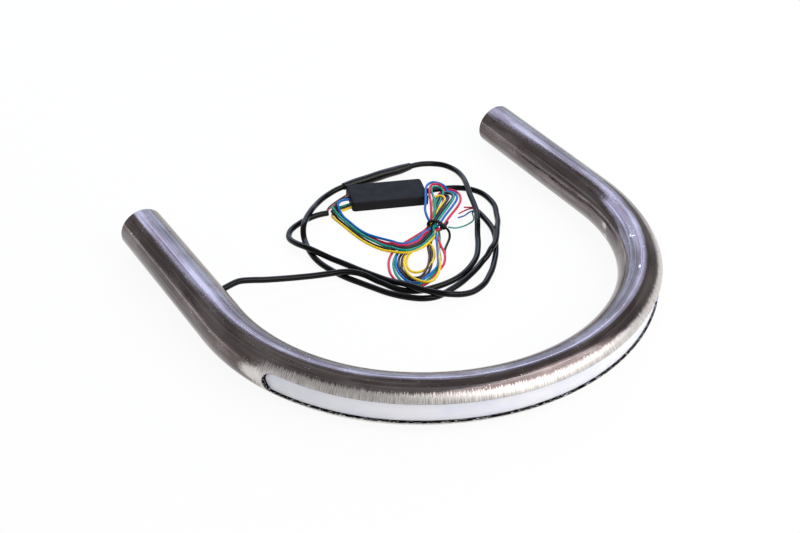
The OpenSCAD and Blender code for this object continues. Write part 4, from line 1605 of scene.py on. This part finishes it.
@dataclass(frozen=True)
class Wiring:
    """Leads, splice, coloured wires, bare cores and the twist tie.

    Attributes:
        lead: Gauge of the leads.
        wire: Gauge of the wires.
        core: Gauge of the cores.
        core_tints: Insulation of each core.
    """

    lead: Gauge = Gauge(3.0, 1.2, 20, Stiffness.MEDIUM)
    wire: Gauge = Gauge(1.3, 0.6, 12)
    core: Gauge = Gauge(0.8, 0.4, 10)
    core_tints: tuple[str, ...] = ("red", "red", "blue", "green", "red", "brown")

    def build(self, finishes: Finishes) -> list[Piece]:
        """Args:
            finishes: Materials of the object.

        Returns:
            The pieces.
        """
        sleeve = Sleeve().build(finishes)
        cores = self._cores(finishes)
        sheath = finishes.sheath
        leads = [
            self._lead("strip_lead", STRIP_LEAD, sheath, FarEnd.OBJECT, [sleeve]),
            self._lead("controller_lead", CONTROLLER_LEAD, sheath, FarEnd.OBJECT, []),
            self._lead("supply_lead", SUPPLY_LEAD, sheath, FarEnd.BARE, cores),
        ]
        wires = [self._wire(colour, finishes.wires[colour]) for colour in WIRE_ROUTES]
        return [sleeve, *cores, *leads, *wires, TwistTie().build(finishes)]

    @staticmethod
    def _tube(
        name: str,
        line: np.ndarray,
        gauge: Gauge,
        material: Material,
        *,
        slot: str,
        replaces: Sequence[str],
    ) -> Piece:
        """Make a round tube along a line.

        Args:
            name: Name of the object.
            line: Its centreline.
            gauge: Its gauge.
            material: Its material.
            slot: Not used.
            replaces: CAD nodes that it stands for.

        Returns:
            The piece.
        """
        points = tube_points(line, gauge.diameter / 2, gauge.sides)
        faces = closed_faces(*points.shape[:2])
        return add_mesh(name, points, faces, material, replaces=replaces)

    def _cores(self, finishes: Finishes) -> list[Piece]:
        """Build the thin cores at both ends of the supply lead.

        Args:
            finishes: Materials of the object.

        Returns:
            The pieces.
        """
        return [
            self._tube(
                f"supply_core_{number}",
                smooth(route, self.core.step),
                self.core,
                finishes.wires[tint],
                slot="core_red",
                replaces=["supply_cores"],
            )
            for number, (route, tint) in enumerate(zip(CORES, self.core_tints), 1)
        ]

    def _lead(
        self, node: str, route: Route, sheath: Material, far_end: FarEnd, on_it: Sequence[Piece]
    ) -> Piece:
        """Build a lead.

        Args:
            node: CAD node that it stands for.
            route: Points that it follows.
            sheath: Its material.
            far_end: What it ends in.
            on_it: Pieces that belong to it.

        Returns:
            The piece.
        """
        line = smooth(route, self.lead.step)
        name = f"{node}_cable"
        piece = self._tube(name, line, self.lead, sheath, slot="sheath_black", replaces=[node])
        self._declare(piece, line, self.lead, far_end, on_it)
        return piece

    def _wire(self, colour: str, insulation: Material) -> Piece:
        """Build a wire, from the controller through the fold and round the bow.

        Args:
            colour: Its colour's name.
            insulation: Its material.

        Returns:
            The piece.
        """
        line = smooth(WIRE_ROUTES[colour], self.wire.step)
        name = f"wire_{colour}"
        piece = self._tube(
            f"{name}_strand",
            line,
            self.wire,
            insulation,
            slot=name,
            replaces=[name, "wire_hank"],
        )
        self._declare(piece, line, self.wire, FarEnd.OBJECT, [])
        return piece

    @staticmethod
    def _declare(
        piece: Piece,
        line: np.ndarray,
        gauge: Gauge,
        far_end: FarEnd,
        on_it: Sequence[Piece],
    ) -> None:
        """Take a cord and leave it as it is.

        Args:
            piece: The cord; not used.
            line: Its centreline; not used.
            gauge: Its gauge; not used.
            far_end: What it ends in; not used.
            on_it: Pieces that belong to it; not used.
        """


@dataclass(frozen=True)
class View:
    """Camera of the photograph, in the part's frame.

    Attributes:
        target: Point it looks at.
        azimuth: Its direction, in degrees from -Y towards +X.
        elevation: Its height angle, in degrees.
        roll: Its turn about its own axis, in degrees.
        distance: Its distance from the target.
        lens: Its focal length, for a sensor as wide as sensor says.
        sensor: Width of its sensor.
    """

    target: Point = (-6.04, 22.5, 0.0)
    azimuth: float = -35.36
    elevation: float = 36.28
    roll: float = 3.567
    distance: float = 620.15
    lens: float = 56.79
    sensor: float = 36.0

    def make(self) -> None:
        """Add the camera and make it the scene's own."""
        a, e, r = (math.radians(v) for v in (self.azimuth, self.elevation, self.roll))
        back = Vector((math.sin(a) * math.cos(e), -math.cos(a) * math.cos(e), math.sin(e)))
        level = (-back).cross(Vector(UP)).normalized()
        upright = level.cross(-back)
        right = level * math.cos(r) + upright * math.sin(r)
        up = upright * math.cos(r) - level * math.sin(r)
        place = (Vector(self.target) + back * self.distance) * MM
        data = bpy.data.cameras.new("camera")
        data.lens = self.lens
        data.sensor_width = self.sensor
        data.clip_start = 0.01
        data.clip_end = 20.0
        camera = bpy.data.objects.new("camera", data)
        rows = [[axis[k] for axis in (right, up, back, place)] for k in range(3)]
        camera.matrix_world = Matrix([*rows, [0, 0, 0, 1]])
        bpy.context.scene.collection.objects.link(camera)
        bpy.context.scene.camera = camera


@dataclass(frozen=True)
class SoftBox:
    """A rectangular lamp that faces the object.

    Attributes:
        name: Its name.
        azimuth: Its direction, in degrees from +Y towards +X.
        elevation: Its height angle, in degrees.
        distance_m: Its distance.
        size_m: Its width and height.
        power: Its power, in watts.
        tint: Its colour.
    """

    name: str
    azimuth: float
    elevation: float
    distance_m: float
    size_m: tuple[float, float]
    power: float
    tint: str

    def make(self) -> None:
        """Add the lamp."""
        data = bpy.data.lights.new(self.name, "AREA")
        data.shape = "RECTANGLE"
        data.size, data.size_y = self.size_m
        data.energy = self.power
        data.color = linear(self.tint)[:3]
        a, e = math.radians(self.azimuth), math.radians(self.elevation)
        toward = Vector((math.sin(a) * math.cos(e), math.cos(a) * math.cos(e), math.sin(e)))
        lamp = bpy.data.objects.new(self.name, data)
        lamp.location = toward * self.distance_m
        lamp.rotation_euler = (-lamp.location).to_track_quat("-Z", "Y").to_euler()
        bpy.context.scene.collection.objects.link(lamp)


@dataclass(frozen=True)
class Studio:
    """White floor, a plain studio around it and soft boxes above and behind the object.

    Attributes:
        boxes: The lamps.
        floor_half_m: Half the floor's width.
        floor_drop_m: How far the floor lies under the object.
        floor_tint: Its colour.
        floor_white: Share of it that shows as plain white, so that the rest shows the shadow.
        horizon: Heights of a direction, as parts of its length, over which the studio dims.
        glow: Strength of the studio's light at and above the horizon.
    """

    boxes: tuple[SoftBox, ...] = (
        SoftBox("high back strip", 22, 41, 1.1, (1.3, 0.24), 3.9, "#c9d8ff"),
        SoftBox("low back box", 24, 22, 1.1, (1.3, 0.5), 3.6, "#c6dcff"),
        SoftBox("front soft box", 145, 46, 1.2, (1.2, 1.0), 11.5, "#fffdfb"),
    )
    floor_half_m: float = 4.0
    floor_drop_m: float = 0.0002
    floor_tint: str = "#f6f6f7"
    floor_white: float = 0.93
    horizon: tuple[float, float] = (0.02, 0.05)
    glow: tuple[float, float] = (2.6, 0.42)

    def make(self) -> None:
        """Set the stage."""
        scene = bpy.context.scene
        scene.view_settings.view_transform = "Standard"
        scene.world = self._surroundings()
        self._floor()
        for box in self.boxes:
            box.make()

    def _surroundings(self) -> bpy.types.World:
        """Make walls that are bright at the horizon and plainly dimmer above it.

        Returns:
            The world.
        """
        world = bpy.data.worlds.new("studio")
        world.use_nodes = True
        graph = Graph(world.node_tree)
        direction = graph.node("TexCoord", out="Generated")
        height = graph.node("SeparateXYZ", (direction,), "Z")
        background = world.node_tree.nodes["Background"]
        strength = graph.node("MapRange", (height, *self.horizon, *self.glow), **SOFT)
        graph.feed(background.inputs["Strength"], strength)
        graph.feed(background.inputs["Color"], "#ffffff")
        return world

    def _floor(self) -> Piece:
        """Make the floor, which is white to the camera and to rays that metal or glass sends.

        Returns:
            The floor.
        """
        half = self.floor_half_m
        mesh = bpy.data.meshes.new("floor")
        corners = [(-half, -half, 0), (half, -half, 0), (half, half, 0), (-half, half, 0)]
        mesh.from_pydata(corners, [], [(0, 1, 2, 3)])
        shade = Shade("white floor", Base_Color=self.floor_tint, Roughness=0.6)
        camera, glossy, through = (
            shade.node("LightPath", out=f"Is {ray} Ray")
            for ray in ("Camera", "Glossy", "Transmission")
        )
        mirrored = shade.node("Math", (glossy, through), operation="MAXIMUM")
        seen = shade.node("Math", (camera, mirrored), operation="MAXIMUM")
        share = shade.node("Math", (seen, self.floor_white), operation="MULTIPLY")
        white = shade.node("Emission", ("#ffffff", 1.0))
        mixed = shade.node("MixShader", (share, shade.bsdf.outputs[0], white))
        shade.feed(shade.tree.nodes["Material Output"].inputs["Surface"], mixed)
        mesh.materials.append(shade.material)
        floor = bpy.data.objects.new("floor", mesh)
        floor.location.z = -self.floor_drop_m
        bpy.context.scene.collection.objects.link(floor)
        return floor


def dress_cad(finishes: Finishes) -> None:
    """Give every CAD node its material, whether it stays in view, hides inside or is replaced.

    Args:
        finishes: Materials of the object.
    """
    materials = {
        "hoop_tube": finishes.steel,
        "light_diffuser": finishes.silicone,
        "strip_lead": finishes.sheath,
        "controller_lead": finishes.sheath,
        "supply_lead": finishes.sheath,
        "splice_sleeve": finishes.shrink,
        "controller_case": finishes.case,
        "supply_cores": finishes.core,
        "wire_hank": finishes.wires["blue"],
        "twist_tie": finishes.tie,
        **{f"wire_{colour}": material for colour, material in finishes.wires.items()},
        **finishes.inside,
    }
    for name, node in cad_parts.items():
        node.data.materials.clear()
        node.data.materials.append(materials[name])


def main() -> None:
    """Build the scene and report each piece."""
    logging.basicConfig(level=logging.INFO, format="%(name)s: %(message)s")
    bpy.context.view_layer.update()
    View().make()
    Studio().make()
    finishes = Finishes.make()
    dress_cad(finishes)
    bend = Bend()
    pieces = [part.build(finishes) for part in (Tube(bend), Diffuser(bend), Controller())]
    pieces += Wiring().build(finishes)
    for piece in pieces:
        LOG.info("built %s with %d faces", piece.name, len(piece.data.polygons))


if __name__ == "__main__":
    main()
